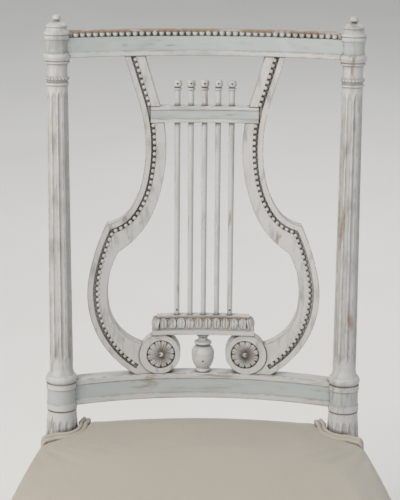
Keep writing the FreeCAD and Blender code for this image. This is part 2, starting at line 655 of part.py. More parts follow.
def lyre_plinth():
    """The moulded block that ties the volutes and carries the strings."""
    bottom, top = PLINTH_BOTTOM, PLINTH_TOP
    ledge = bottom + PLINTH_SLAB

    def moulding(half):
        right = [(half, bottom), (half, ledge - 0.6), (half - 1.2, ledge), (half - 1.8, ledge + 0.6)]
        right += [(half - PLINTH_FLARE, top - 3.6, 1.8), (half - PLINTH_FLARE + 0.6, top - 3.0), (half - PLINTH_FLARE + 0.6, top)]
        left = [(-point[0], point[1], *point[2:]) for point in right]
        swells = [point[2:] for point in right]
        back = [(left[i][0], left[i][1], *(swells[i + 1] if i + 1 < len(left) else ())) for i in reversed(range(len(left)))]
        return right + back

    across = bowed(moulding(PLINTH_DEPTH / 2), PLINTH_HALF_LENGTH + 5.0)
    along = through(Part.Face(outline(moulding(PLINTH_HALF_LENGTH), lambda x, s: Vector(x, 0, s))))
    sockets = [Part.makeCylinder(STRING_RADIUS + FIT, 30.0, Vector(x, bow_at(x), PLINTH_TOP - 8.0)) for x in string_places()]
    return across.common(along).cut(sockets)


def lyre_vase():
    """The little turned vase between the lower rail and the plinth."""
    low, high = LOWER_RAIL_TOP, PLINTH_BOTTOM
    tall = high - low
    wide = VASE_RADIUS
    profile = [
        (wide * 0.62, low), (wide * 0.68, low + tall * 0.05, 0.5), (wide * 0.58, low + tall * 0.1),
        (wide * 0.9, low + tall * 0.24, 0.6), (wide, low + tall * 0.42, 0.6), (wide * 0.55, low + tall * 0.68, 2.4),
        (wide * 0.72, low + tall * 0.71), (wide * 0.72, low + tall * 0.77, 0.8), (wide * 0.45, low + tall * 0.8),
        (wide * 0.42, low + tall * 0.88, -0.6), (wide * 0.55, low + tall * 0.92), (wide * 0.55, high),
    ]
    return turned(profile)


def finial():
    """The stepped cap and its ball, dowelled into the post's head."""
    seat = CREST_TOP - 3.8
    cap = CAP_RADIUS
    profile = [
        (3.0, seat - 16.0), (3.0, seat), (cap - 0.4, seat), (cap - 0.4, seat + 3.4, 0.9), (cap - 0.8, seat + 4.0),
        (cap - 3.6, seat + 8.6, -0.5), (cap - 3.2, seat + 9.2), (cap - 3.2, seat + 11.6, 0.6), (cap - 4.0, seat + 12.2),
        (3.4, seat + 15.6, 0.7), (3.2, seat + 17.0, -0.3), (4.9, seat + 20.2, 0.9), (1.0, seat + 23.7, 1.4),
    ]
    return turned(profile)


def pad_outline(thinner, z, swell_out, corner, shrink=1.0):
    """The pad's plan at one height: swollen outside the cut-outs, shrunk towards its middle."""
    grow = swell_out - thinner
    rear_y = REAR_BACK_Y + grow - 3.0
    side_x = REAR_OUT + grow - 1.0
    side_y = CUT_OUT_Y - thinner
    neck_x, neck_y = polar(225.0, CUT_OUT_RADIUS + thinner)
    front_x = FRONT_OUT + grow
    front_y = FRONT_FACE_Y - grow
    nook_x, nook_y = polar(-45.0, corner)
    middle_y = (FRONT_FACE_Y + REAR_BACK_Y) / 2

    def at(x, y):
        return Vector(x * shrink, middle_y + (y - middle_y) * shrink, z)

    def swell(a, b, sagitta):
        dx, dy = b[0] - a[0], b[1] - a[1]
        reach = sagitta / math.hypot(dx, dy)
        return (a[0] + b[0]) / 2 - dy * reach, (a[1] + b[1]) / 2 + dx * reach

    rear = (CUT_OUT_X - thinner, rear_y)
    side = (side_x, side_y)
    side_end = (front_x, front_y + corner)
    front = (front_x - corner, front_y)
    runs = [
        (rear, (HALF + neck_x, REAR_BLOCK_Y + neck_y), side),
        (side, swell(side, side_end, SIDE_BOW + 3.0), side_end),
        (side_end, (front_x - corner + nook_x, front_y + corner + nook_y), front),
        (front, (0.0, front_y - FRONT_BOW), (-front[0], front[1])),
    ]
    right = [Part.Arc(at(*a), at(*m), at(*b)).toShape() for a, m, b in runs]
    left = [Part.Arc(at(-b[0], b[1]), at(-m[0], m[1]), at(-a[0], a[1])).toShape() for a, m, b in reversed(runs[:-1])]
    back = Part.Arc(at(-rear[0], rear[1]), at(0.0, rear[1] + REAR_BOW), at(*rear)).toShape()
    return Part.Wire(right + left + [back])


def pad_wires(thinner, base):
    """The pad's rounded form as plans: edges that swell over the rails, then a shallow crown."""
    edge = FRAME_TOP + PAD_EDGE - thinner
    crown = FRAME_TOP + PAD_CROWN - thinner
    rise = crown - edge
    tight, loose = BLOCK_CORNER + 2.0, PAD_CORNER
    levels = [
        (base, 2.0, tight), (FRAME_TOP - 14.0, OVERHANG * 0.62, tight + 4.0), (FRAME_TOP, OVERHANG * 0.92, tight + 8.0),
        (FRAME_TOP + PAD_EDGE * 0.4, OVERHANG, loose), (edge - PAD_EDGE * 0.24, OVERHANG * 0.62, loose),
        (edge - PAD_EDGE * 0.06, 0.0, loose), (edge + rise * 0.2, -2.0, loose, 0.96), (edge + rise * 0.55, -2.0, loose, 0.84),
        (edge + rise * 0.82, -2.0, loose, 0.64), (crown - rise * 0.04, -2.0, loose, 0.4), (crown, -2.0, loose, 0.18),
    ]
    return [pad_outline(thinner, *level) for level in levels]


def upholstery(posts_and_legs):
    """Hessian, stuffing, cover and the sheet under the seat."""
    web_top = FRAME_TOP + 2 * WEB_THICKNESS
    hessian_top = web_top + HESSIAN_THICKNESS
    base = SHOW_TOP + 4 * WELT_CORD + 1.0
    frame = [floor_of_seat(0.0, base - 5.0, hessian_top)] + posts_and_legs
    inner = Part.makeLoft(pad_wires(COVER_THICKNESS, base), True, True)
    hollow = Part.makeLoft(pad_wires(COVER_THICKNESS, base - 1.0), True, True)
    stuffing = inner.cut(frame)
    cover = Part.makeLoft(pad_wires(0.0, base), True, True).cut(hollow).cut(frame)
    hessian = floor_of_seat(6.0, web_top, hessian_top).cut(posts_and_legs)
    sheet = floor_of_seat(7.0, LEG_LENGTH - DUST_COVER_THICKNESS, LEG_LENGTH).cut(posts_and_legs)
    return cover, stuffing, hessian, sheet


def webbing():
    """Girth web, over and under, tacked to the tops of the rails."""
    half_span = FRONT_OUT - 8.0
    first_y = REAR_FRONT_Y - 34.0
    last_y = FRONT_BACK_Y + 6.0
    rows = [first_y + (last_y - first_y) * i / (WEBS_ACROSS - 1) for i in range(WEBS_ACROSS)]
    columns = [(i - (WEBS_ALONG - 1) / 2) * (FRONT_IN * 2 - WEB_WIDTH) / WEBS_ALONG for i in range(WEBS_ALONG)]
    inside = floor_of_seat(5.0, FRAME_TOP - 1.0, FRAME_TOP + 5.0)
    half_web = WEB_WIDTH / 2

    def strip(stops, crossings, lifts):
        bottom = [(stops[0], FRAME_TOP)]
        for place, lift in zip(crossings, lifts):
            level = FRAME_TOP + lift * WEB_THICKNESS
            ahead = math.copysign(half_web + 2.0, stops[1] - stops[0])
            bottom += [(place - ahead, level), (place + ahead, level)]
        bottom.append((stops[1], FRAME_TOP))
        return bottom + [(u, v + WEB_THICKNESS) for u, v in reversed(bottom)]

    strips = []
    for i, y in enumerate(rows):
        points = strip((-half_span, half_span), columns, [(i + j) % 2 for j in range(WEBS_ALONG)])
        face = Part.Face(outline(points, lambda u, v: Vector(u, y - half_web, v)))
        strips.append(face.extrude(Vector(0, WEB_WIDTH, 0)).common(inside))
    for j, x in enumerate(columns):
        lifts = [1 - (i + j) % 2 for i in range(WEBS_ACROSS)]
        points = strip((REAR_BACK_Y + REAR_BOW, FRONT_FACE_Y - FRONT_BOW), rows, lifts)
        face = Part.Face(outline(points, lambda u, v: Vector(x - half_web, u, v)))
        strips.append(face.extrude(Vector(WEB_WIDTH, 0, 0)).common(inside))
    return strips


def corner_blocks(solids):
    """Glue blocks in the frame's corners, each with two screws."""
    middle = LEG_LENGTH + RAIL_HEIGHT / 2
    low, high = middle - CORNER_BLOCK_HEIGHT / 2, middle + CORNER_BLOCK_HEIGHT / 2
    inside = floor_of_seat(RAIL_THICKNESS, low, high)
    front_corner = (FRONT_OUT - RAIL_THICKNESS, FRONT_FACE_Y + RAIL_THICKNESS)
    rear_corner = (REAR_OUT - RAIL_THICKNESS, REAR_BACK_Y - RAIL_THICKNESS)
    shank = turned([
        (0.3, 0.0), (SCREW_RADIUS, 4.0), (SCREW_RADIUS, 32.0), (2 * SCREW_RADIUS, 34.2), (2 * SCREW_RADIUS, 35.2),
    ])
    spill = 40.0
    results = {}
    for name, (x, y), side in (("front", front_corner, 1), ("rear", rear_corner, -1)):
        near, far = x + spill, x - CORNER_BLOCK - spill
        wedge = [(near, y + side * (CORNER_BLOCK + spill)), (near, y - side * spill), (far, y - side * spill)]
        wedge = wedge[::-side]
        solid = prism(wedge, low, high).common(inside).cut(solids)
        solid = max(solid.Solids, key=lambda piece: piece.Volume)
        heading = -45.0 * side
        reach = CORNER_BLOCK / 2 - spill / 4
        c, d = polar(heading, 22.0)
        screws = []
        for z in (middle - 11.0, middle + 11.0):
            screw = shank.copy()
            aim = Rotation(Vector(0, 0, 1), heading).multiply(Rotation(Vector(0, 1, 0), -90))
            screw.Placement = Placement(Vector(x - reach + c, y + side * reach + d, z), aim)
            screws.append(screw)
        results[name] = (solid, screws)
    return results


def tacks(sheet_inset):
    """Tacks round the sheet under the seat."""
    heads = []
    y0, y1 = FRONT_FACE_Y + 16.0, REAR_FRONT_Y - 12.0
    for i in range(7):
        part = i / 6
        y = y0 + 45.0 + (y1 - y0 - 60.0) * part
        share = (REAR_FRONT_Y - y) / (REAR_FRONT_Y - FRONT_BACK_Y)
        x = REAR_OUT + (FRONT_OUT - REAR_OUT) * share + 4 * SIDE_BOW * share * (1 - share) - sheet_inset
        heads += [(x, y), (-x, y)]
    for i in range(7):
        part = (i - 3) / 3
        x = FRONT_IN * 0.86 * part
        heads.append((x, FRONT_FACE_Y - FRONT_BOW * (1 - part * part * 0.74) + sheet_inset))
    for i in range(5):
        part = (i - 2) / 2
        x = (HALF - REAR_BLOCK) * 0.9 * part
        heads.append((x, REAR_BACK_Y + REAR_BOW * (1 - part * part * 0.6) - sheet_inset))
    top = LEG_LENGTH - DUST_COVER_THICKNESS
    tack = turned([(0.4, top - 1.6), (3.6, top - 0.6, 0.4), (3.6, top)])
    result = []
    for x, y in heads:
        copy = tack.copy()
        copy.translate(Vector(x, y, 0))
        result.append(copy)
    return result


def welt(keep_off):
    """Double cord over the cover's edge: round the frame, up beside the posts and across the cut-outs."""
    r = WELT_CORD
    low = SHOW_TOP + 0.5
    high = low + 4 * r
    swell, shoulder = 0.75 * r, 0.5 * r

    def twin(base, reach):
        section = [(base, low), (reach, low)]
        for foot in (low, low + 2 * r):
            section += [(reach + swell, foot + shoulder), (reach + swell, foot + 2 * r - shoulder), (reach, foot + 2 * r)]
        return section + [(base, high)]

    on_rail, on_block = twin(-2.5, 0.6), twin(0.0, 0.6)
    run = FRONT_BLOCK - BLOCK_CORNER
    cx, cy = FRONT_OUT - BLOCK_CORNER, FRONT_FACE_Y + BLOCK_CORNER
    side_face = Part.Face(outline(on_block, lambda o, z: Vector(FRONT_OUT + o, FRONT_BACK_Y, z)))
    corner = Part.Face(outline(on_block, lambda o, z: Vector(FRONT_OUT + o, cy, z)))
    front_face = Part.Face(outline(on_block, lambda o, z: Vector(cx, FRONT_FACE_Y - o, z)))
    round_block = side_face.extrude(Vector(0, -run, 0)).fuse([
        corner.revolve(Vector(cx, cy, 0), Vector(0, 0, -1), 90), front_face.extrude(Vector(-run, 0, 0)),
    ])

    level = FRAME_TOP + REAR_BLOCK_RISE + 1.0

    def riser(x, y, across, along):
        """Two upright cords side by side, with their backs let into the gap beside the post's block."""
        section = [(0, -2.5 * r), (0, 0)]
        for foot in (0, 2 * r):
            section += [(foot + shoulder, swell), (foot + 2 * r - shoulder, swell), (foot + 2 * r, 0)]
        section.append((4 * r, -2.5 * r))
        face = Part.Face(outline(section, lambda u, v: Vector(
            x + across[0] * u + along[0] * v, y + across[1] * u + along[1] * v, high)))
        return face.extrude(Vector(0, 0, level + r - high))

    start = Vector(CUT_OUT_X, REAR_BACK_Y - 3.0, 0)
    neck_x, neck_y = polar(225.0, CUT_OUT_RADIUS)
    neck = Vector(HALF + neck_x, REAR_BLOCK_Y + neck_y, 0)
    end = Vector(REAR_OUT - 1.0, CUT_OUT_Y, 0)
    arc = Part.Arc(start, neck, end).toShape().Curve
    inward = (arc.Center - start).normalize()
    step = 1.4 * r
    across = [
        (-1.0, level), (2 * step, level), (2 * step, level + 2 * r + step), (step + 1.0, level + 2 * r + step),
        (step, level + 2 * r), (1.0, level + 2 * r), (-1.0, level + r),
    ]
    turn = math.degrees((start - arc.Center).getAngle(end - arc.Center))
    cut_out = Part.Face(outline(across, lambda o, z: start + inward * o + Vector(0, 0, z)))
    cut_out = cut_out.revolve(arc.Center, Vector(0, 0, 1), turn)
    side_riser = riser(REAR_OUT + 0.6, REAR_FRONT_Y - 0.2, (0, -1), (1, 0))
    rear_riser = riser(HALF - REAR_BLOCK / 2 - 0.2, REAR_BACK_Y + 0.6, (-1, 0), (0, 1))
    beside_post = cut_out.fuse([side_riser, rear_riser]).cut(keep_off)
    right = [beside_post, bent(on_rail, *SIDE_RUN), round_block]
    return right + [mirrored(piece) for piece in right] + [bent(on_rail, *FRONT_RUN), bent(on_rail, *REAR_RUN)]


def build():
    blank, head, post, leg, side_rail, front_rail, rear_rail = seat_frame()
    crest, lower, back_mortises = crest_and_lower_rail(blank)
    slot = lyre_crossbar(FIT)
    arm, arm_holes = lyre_arm([slot])
    leaning_holes = [lean(hole) for hole in arm_holes]
    both = leaning_holes + [mirrored(hole) for hole in leaning_holes]
    crest = crest.cut(both)
    lower = lower.cut(both)
    cap = finial()
    socket = Part.makeCylinder(3.0 + FIT, 17.0, Vector(HALF, 0, CREST_TOP - 3.8 - 16.0 - FIT))
    cap.translate(Vector(HALF, 0, 0))
    post = post.cut(back_mortises + [lean(socket)])

    peg_list = pegs()
    right_pegs = peg_list[0::2]
    post = post.cut(right_pegs)
    leg = leg.cut(right_pegs)
    side_rail = side_rail.cut(right_pegs)
    front_rail = front_rail.cut(peg_list)
    rear_rail = rear_rail.cut(peg_list)

    blocks = corner_blocks([post, leg, side_rail, front_rail, rear_rail])
    screws = blocks["front"][1] + blocks["rear"][1]
    side_rail = side_rail.cut(screws)
    post = post.cut(screws)
    leg = leg.cut(screws)
    front_rail = front_rail.cut(screws + [mirrored(screw) for screw in screws])
    rear_rail = rear_rail.cut(screws + [mirrored(screw) for screw in screws])

    pair("rear_post", post)
    pair("finial", lean(cap))
    PARTS["crest_rail"] = crest
    PARTS["lower_back_rail"] = lower
    pair("lyre_arm", lean(arm))
    PARTS["lyre_crossbar"] = lean(lyre_crossbar())
    rod = lyre_string()
    for number, x in enumerate(string_places(), 1):
        one = rod.copy()
        one.translate(Vector(x, bow_at(x), 0))
        PARTS["lyre_string_%d" % number] = lean(one)
    PARTS["lyre_plinth"] = lean(lyre_plinth())
    vase = lyre_vase()
    vase.translate(Vector(0, bow_at(0), 0))
    PARTS["lyre_vase"] = lean(vase)
    pair("front_leg", leg)
    PARTS["front_seat_rail"] = front_rail
    pair("side_seat_rail", side_rail)
    PARTS["rear_seat_rail"] = rear_rail
    for name, (solid, own) in blocks.items():
        pair("corner_block_" + name, solid.cut(own))
    PARTS["corner_block_screws"] = Part.makeCompound(screws + [mirrored(screw) for screw in screws])
    PARTS["rail_pegs"] = Part.makeCompound(peg_list)

    keep_off = [head, mirrored(head), leg, mirrored(leg)]
    cover, stuffing, hessian, sheet = upholstery(keep_off)
    PARTS["seat_webbing"] = Part.makeCompound(webbing())
    PARTS["seat_hessian"] = hessian
    PARTS["seat_stuffing"] = stuffing
    PARTS["seat_cover"] = cover
    PARTS["double_welt"] = Part.makeCompound(welt([head, cover, stuffing]))
    PARTS["dust_cover"] = sheet
    PARTS["dust_cover_tacks"] = Part.makeCompound(tacks(14.0))


def pair(name, right):
    PARTS[name + "_right"] = right
    PARTS[name + "_left"] = mirrored(right)


def write():
    """Centre the whole chair over the origin and write one file for each piece."""
    box = Part.makeCompound(list(PARTS.values())).optimalBoundingBox(False, False)
    os.makedirs("parts", exist_ok=True)
    for name, shape in PARTS.items():
        shape.translate(Vector(0, -(box.YMin + box.YMax) / 2, 0))
        shape.exportStep("parts/%s.step" % name)
        print("%-26s %d solids %10.1f mm3 %s" % (name, len(shape.Solids), shape.Volume, "ok" if shape.isValid() else "INVALID"))
    print("box %.1f %.1f %.1f, moved %.2f" % (box.XLength, box.YLength, box.ZLength, -(box.YMin + box.YMax) / 2))


build()
write()
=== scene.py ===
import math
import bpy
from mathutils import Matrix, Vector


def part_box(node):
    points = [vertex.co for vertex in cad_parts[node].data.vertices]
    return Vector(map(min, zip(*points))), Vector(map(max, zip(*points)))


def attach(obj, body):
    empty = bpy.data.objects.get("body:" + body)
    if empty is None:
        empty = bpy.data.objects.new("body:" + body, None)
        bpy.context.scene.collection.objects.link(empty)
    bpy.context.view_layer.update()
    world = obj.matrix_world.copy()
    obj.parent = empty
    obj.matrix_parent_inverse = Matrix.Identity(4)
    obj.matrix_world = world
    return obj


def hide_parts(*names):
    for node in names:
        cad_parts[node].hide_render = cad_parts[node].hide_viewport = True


bl_info = {
    "name": "Lyre Back Chair",
    "version": (1, 0, 0),
    "blender": (4, 5, 0),
    "location": "View3D > Sidebar > Chair",
    "description": "Painted side chair with a carved lyre back, beadwork and a linen seat",
    "category": "Object",
}

import bpy
from bpy.props import FloatProperty, FloatVectorProperty, IntProperty, PointerProperty
from mathutils import Matrix, Vector

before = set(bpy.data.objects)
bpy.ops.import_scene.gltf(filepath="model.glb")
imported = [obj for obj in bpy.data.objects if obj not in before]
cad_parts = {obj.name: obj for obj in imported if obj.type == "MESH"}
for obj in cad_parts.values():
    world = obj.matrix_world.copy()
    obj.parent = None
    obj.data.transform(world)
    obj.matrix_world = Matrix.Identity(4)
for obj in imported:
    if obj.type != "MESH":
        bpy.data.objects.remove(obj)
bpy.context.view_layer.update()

MM = 0.001
SIDES = ((-1, "left"), (1, "right"))

# The back's own leaning frame, in millimetres: x across, n backwards, s up from the lower rail
RAKE = math.radians(10.0)
HALF_SPACING = 177.0
BACK_BOW = 40.0
BOW_RADIUS = (HALF_SPACING ** 2 + BACK_BOW ** 2) / (2 * BACK_BOW)
BREAK_Z = 510.0
FRONT_FACE_Y = -397.0
SHIFT_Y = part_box("front_leg_right")[0].y / MM - FRONT_FACE_Y
CREST_RISE = 422.7
CREST_TOP = 454.0
RAIL_TOP = 19.6
RAIL_BOTTOM = -13.2

# The lyre's edges: straight runs are lengths, bends are (radius, turn in degrees)
LYRE_TOP = (97.1, CREST_RISE)
LYRE_HEADING = -107.1
LYRE_UPPER = [56.0, (199.0, 29.8), (100.5, 21.3), (40.4, 49.8)]
LYRE_LOWER_HEADING = -63.9
LYRE_LOWER = [(250.0, -15.0), (130.0, -62.0)]
BEAD_LINE = 9.6
CHANNEL_FLOOR = -6.6
CROSSBAR_GAP = (337.6, 363.6)
BEAD_DEPTH = CHANNEL_FLOOR - 0.3
VOLUTE_CENTRE, VOLUTE_DEPTH = (54.6, 45.0), -7.9

# Strings, and the heights of the nail heads on them and on the vase
STRING_PITCH = 16.7
STRING_NAILS = (387.9, 101.0)
VASE_NAILS = (36.0, 65.6)

# The crest's groove, given as its end, depth and height, and the pearls round the posts' necks
GROOVE_END, GROOVE_DEPTH, GROOVE_HEIGHT = HALF_SPACING - 19.2, -8.2, CREST_TOP - 4.0
PEARL_RING, PEARL_HEIGHT = 12.9, CREST_RISE - 24.4

# The seat's plan
SHOW_TOP = 408.0
FRAME_TOP = 440.0
REAR_OUT, REAR_FRONT_Y, REAR_BACK_Y = 197.0, -32.0, 12.0
FRONT_OUT, FRONT_IN, FRONT_BACK_Y = 233.0, 183.0, -347.0
BLOCK_CORNER, BLOCK_HALF, BLOCK_MIDDLE, BLOCK_SINK = 10.0, 25.0, 385.0, 1.4
SIDE_BOW, FRONT_BOW, REAR_BOW = 9.0, 24.0, 14.0
CUT_OUT_START = (143.0, 9.0)
CUT_OUT_NECK = (161.4, -25.6)
CUT_OUT_END = (196.0, -45.5)
POST_Y = -9.4

# How far the cords keep from the posts' axes, and their heights on the way up and down beside the posts
POST_FRONT, POST_SIDE = 20.8, 20.2
CORD_UP, CORD_DOWN = (430.0, 438.0, 446.0, 451.0), (452.0, 444.0, 436.0, 428.0)

# The photograph's camera: its lens in pixels, its place on the seat's plan and its turns
SENSOR = 36.0
PICTURE_HEIGHT = 500
FOCAL_LENGTH = 1600
CAMERA_STAND = (-2.659, -1771.690, 1479.112)
CAMERA_TURN, CAMERA_TILT, CAMERA_ROLL = 0.0010553, 0.4101637, 0.0068164

# Lamps, in metres: where each stands, how wide it is, its power and its colour
LAMP_AIM = (0, 0, 0.65)
LAMPS = {
    "key": ((-2.1, -1.9, 2.7), 1.5, 76.0, (1.0, 0.98, 0.95)),
    "fill": ((2.4, -1.6, 1.6), 2.0, 15.0, (0.93, 0.96, 1.0)),
    "back": ((0.6, 2.4, 2.3), 1.6, 16.0, (1.0, 1.0, 1.0)),
}


def srgb(red, green, blue):
    """Linear colour from the 0 to 255 values seen on a screen."""
    shares = [value / 255 for value in (red, green, blue)]
    return tuple(c / 12.92 if c <= 0.04045 else ((c + 0.055) / 1.055) ** 2.4 for c in shares)


def metres(name, description, default, precision=4):
    """A length for the panel."""
    return FloatProperty(name=name, description=description, default=default, unit="LENGTH",
                         precision=precision)


def tint(name, description, *seen):
    """A colour for the panel, as seen on a screen."""
    return FloatVectorProperty(name=name, description=description, default=srgb(*seen), subtype="COLOR",
                               min=0, max=1)


class ChairLooks(bpy.types.PropertyGroup):
    """Sizes and colours that a user would change."""

    crest_bead: metres("Crest bead", "Width of a bead on the crest rail", 0.0075)
    crest_pitch: metres("Crest pitch", "From one crest bead to the next", 0.00795, 5)
    lyre_bead: metres("Lyre bead", "Width of a bead in the lyre's channel", 0.0066)
    lyre_pitch: metres("Lyre pitch", "From one lyre bead to the next", 0.0070)
    pearls: IntProperty(name="Pearls", description="Pearls round each post's neck", default=20, min=3)
    leaf_pitch: metres("Leaf pitch", "Width of one leaf of the plinth's band", 0.0114)
    petals: IntProperty(name="Petals", description="Petals of each rosette", default=12, min=5)
    cord: metres("Welt cord", "Thickness of each of the two welt cords", 0.0058)
    thread: metres("Thread", "From one linen thread to the next", 0.0009, 5)
    paint: tint("Paint", "Chalky off-white of the frame", 197, 196, 193)
    field: tint("Field", "Grey-green of the sunk fields", 183, 187, 184)
    wood: tint("Bare wood", "Wood where the paint is rubbed off", 148, 118, 86)
    # The colour mixed into the dirt streaks and laid as painted shade in the hollows.
    dirt_and_shade_colour: tint("Dirt and shade", "Dark wash left in the hollows", 74, 66, 56)
    linen: tint("Linen", "Seat cloth", 198, 190, 176)


def looks():
    """The sizes and colours chosen in the panel."""
    return bpy.context.scene.lyre_chair


def bow_at(x):
    """How far back the bow's middle surface lies, in the back's millimetres."""
    return math.sqrt(BOW_RADIUS ** 2 - x ** 2) - (BOW_RADIUS - BACK_BOW)


def leaned(x, n, s):
    """Metres in the chair's frame from millimetres in the back's."""
    y = n * math.cos(RAKE) + s * math.sin(RAKE) + SHIFT_Y
    z = BREAK_Z - n * math.sin(RAKE) + s * math.cos(RAKE)
    return Vector((x, y, z)) * MM


def on_bow(x, offset, s):
    """A point that far behind the bow's middle surface, square to it."""
    angle = math.asin(x / BOW_RADIUS)
    reach = BOW_RADIUS + offset
    return leaned(reach * math.sin(angle), reach * math.cos(angle) - (BOW_RADIUS - BACK_BOW), s)


def on_seat(x, y, z):
    """Metres from the seat plan's millimetres."""
    return Vector((x, y + SHIFT_Y, z)) * MM


def walk(start, heading, moves, aside):
    """Points about a millimetre apart beside a path of runs and bends in the back's x-s plane."""
    x, s = start
    points = []
    for move in moves:
        radius, turn = move if isinstance(move, tuple) else (None, 0.0)
        length = abs(math.radians(turn) * radius) if radius else move
        count = max(2, round(length))
        for index in range(count):
            angle = math.radians(heading)
            points.append((x + aside * math.sin(angle), s - aside * math.cos(angle)))
            heading += turn / count
            middle = math.radians(heading - turn / count / 2)
            x += length / count * math.cos(middle)
            s += length / count * math.sin(middle)
    angle = math.radians(heading)
    points.append((x + aside * math.sin(angle), s - aside * math.cos(angle)))
    return points, (x, s), heading


def arc_through(a, b, c, count):
    """Points along the arc from a through b to c, in a plane."""
    (ax, ay), (bx, by), (cx, cy) = a, b, c
    d = 2 * (ax * (by - cy) + bx * (cy - ay) + cx * (ay - by))
    a2, b2, c2 = ax * ax + ay * ay, bx * bx + by * by, cx * cx + cy * cy
    ux = (a2 * (by - cy) + b2 * (cy - ay) + c2 * (ay - by)) / d
    uy = (a2 * (cx - bx) + b2 * (ax - cx) + c2 * (bx - ax)) / d
    first = math.atan2(ay - uy, ax - ux)
    last = math.atan2(cy - uy, cx - ux)
    radius = math.hypot(ax - ux, ay - uy)
    clockwise = (bx - ax) * (cy - ay) - (by - ay) * (cx - ax) < 0
    if clockwise and last > first:
        last -= 2 * math.pi
    if not clockwise and last < first:
        last += 2 * math.pi
    angles = [first + (last - first) * index / count for index in range(count + 1)]
    return [(ux + radius * math.cos(t), uy + radius * math.sin(t)) for t in angles]


def linked(name, data):
    """A new object in the scene from its data."""
    item = bpy.data.objects.new(name, data)
    bpy.context.collection.objects.link(item)
    return item


def add_piece(name, vertices, faces, material, smooth=True, edges=()):
    mesh = bpy.data.meshes.new(name)
    mesh.from_pydata([tuple(v) for v in vertices], list(edges), faces)
    mesh.polygons.foreach_set("use_smooth", [smooth] * len(mesh.polygons))
    mesh.update()
    if material:
        mesh.materials.append(material)
    return linked(name, mesh)


def settle(piece):
    """Every finished piece rides on the chair's one body."""
    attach(piece, "root")
    return piece


def polyline(name, runs, closed):
    """Loose edges through each run of points, for a node tree to follow."""
    vertices, edges = [], []
    for run in runs:
        first = len(vertices)
        vertices += run
        edges += [(first + i, first + i + 1) for i in range(len(run) - 1)]
        if closed:
            edges.append((len(vertices) - 1, first))
    return add_piece(name, vertices, [], None, edges=edges)


def evaluated(piece):
    """The mesh that a piece's modifiers make of it."""
    bpy.context.view_layer.update()
    depsgraph = bpy.context.evaluated_depsgraph_get()
    return bpy.data.meshes.new_from_object(piece.evaluated_get(depsgraph), depsgraph=depsgraph)


def grown(holder, tree, values, name):
    """A piece with the mesh that a node tree makes from the holder, in the finish given to the tree."""
    modifier = holder.modifiers.new(tree.name, "NODES")
    modifier.node_group = tree
    for item in tree.interface.items_tree:
        if item.name in values:
            modifier[item.identifier] = values[item.name]
    mesh = evaluated(holder)
    if not mesh.polygons:
        raise RuntimeError("nothing grew for " + name)
    mesh.name = name
    bpy.data.objects.remove(holder)
    settle(linked(name, mesh))


class Nodes:
    """A node tree that grows node by node, each fed by others or by plain values."""

    def __init__(self, tree):
        self.tree = tree

    def add(self, kind, sockets=None, out=0, **settings):
        node = self.tree.nodes.new(kind)
        for name, value in settings.items():
            setattr(node, name, value)
        for name, value in (sockets or {}).items():
            if isinstance(value, bpy.types.NodeSocket):
                self.tree.links.new(value, node.inputs[name])
            else:
                node.inputs[name].default_value = value
        return node.outputs[out]

    def apart(self, vector):
        """The three outputs of a split vector."""
        node = self.tree.nodes.new("ShaderNodeSeparateXYZ")
        self.tree.links.new(vector, node.inputs[0])
        return node.outputs

    def math(self, operation, first, second=0.0):
        return self.add("ShaderNodeMath", {0: first, 1: second}, operation=operation)

    def times(self, first, second):
        return self.math("MULTIPLY", first, second)


class Shader(Nodes):
    """A material's nodes."""

    def __init__(self, name):
        self.material = bpy.data.materials.new(name)
        self.material.use_nodes = True
        super().__init__(self.material.node_tree)
        self.tree.nodes.clear()

    def ramp(self, value, low, high, to_low=0.0, to_high=1.0):
        sockets = {"Value": value, "From Min": low, "From Max": high, "To Min": to_low, "To Max": to_high}
        return self.add("ShaderNodeMapRange", sockets, interpolation_type="SMOOTHSTEP")

    def blend(self, share, first, second):
        """Mixed colours, from outputs of others or plain ones."""
        first, second = [c if isinstance(c, bpy.types.NodeSocket) else (*c, 1.0) for c in (first, second)]
        return self.add("ShaderNodeMix", {0: share, 6: first, 7: second}, out=2, data_type="RGBA")

    def noise(self, place, scale, detail=3.0, roughness=0.55):
        sockets = {"Vector": place, "Scale": scale, "Detail": detail, "Roughness": roughness}
        return self.add("ShaderNodeTexNoise", sockets)

    def place(self, scale=(1, 1, 1), location=(0, 0, 0)):
        here = self.add("ShaderNodeTexCoord", out="Object")
        return self.add("ShaderNodeMapping", {"Vector": here, "Scale": scale, "Location": location})

    def surface(self, colour, roughness, height=None, strength=0.3, distance=0.0005, specular=0.35, **fixed):
        sockets = {"Base Color": colour, "Roughness": roughness, "Specular IOR Level": specular, **fixed}
        if height is not None:
            sockets["Normal"] = self.add("ShaderNodeBump", {
                "Height": height, "Strength": strength, "Distance": distance,
            })
        shaded = self.add("ShaderNodeBsdfPrincipled", sockets)
        end = self.tree.nodes.new("ShaderNodeOutputMaterial")
        self.tree.links.new(shaded, end.inputs["Surface"])
        return self.material


def within_heights(shader, here, bands):
    """How far a place lies inside any of the given heights of the leaning back."""
    up = shader.add("ShaderNodeVectorMath", {
        0: here, 1: (0.0, math.sin(RAKE), math.cos(RAKE)),
    }, out="Value", operation="DOT_PRODUCT")
    base = SHIFT_Y * MM * math.sin(RAKE) + BREAK_Z * MM * math.cos(RAKE)
    soft = 0.3
    inside = None
    for low, high in bands:
        enter = shader.ramp(up, base + (low - soft) * MM, base + (low + soft) * MM)
        leave = shader.ramp(up, base + (high - soft) * MM, base + (high + soft) * MM, 1.0, 0.0)
        band = shader.times(enter, leave)
        inside = band if inside is None else shader.math("MAXIMUM", inside, band)
    return inside


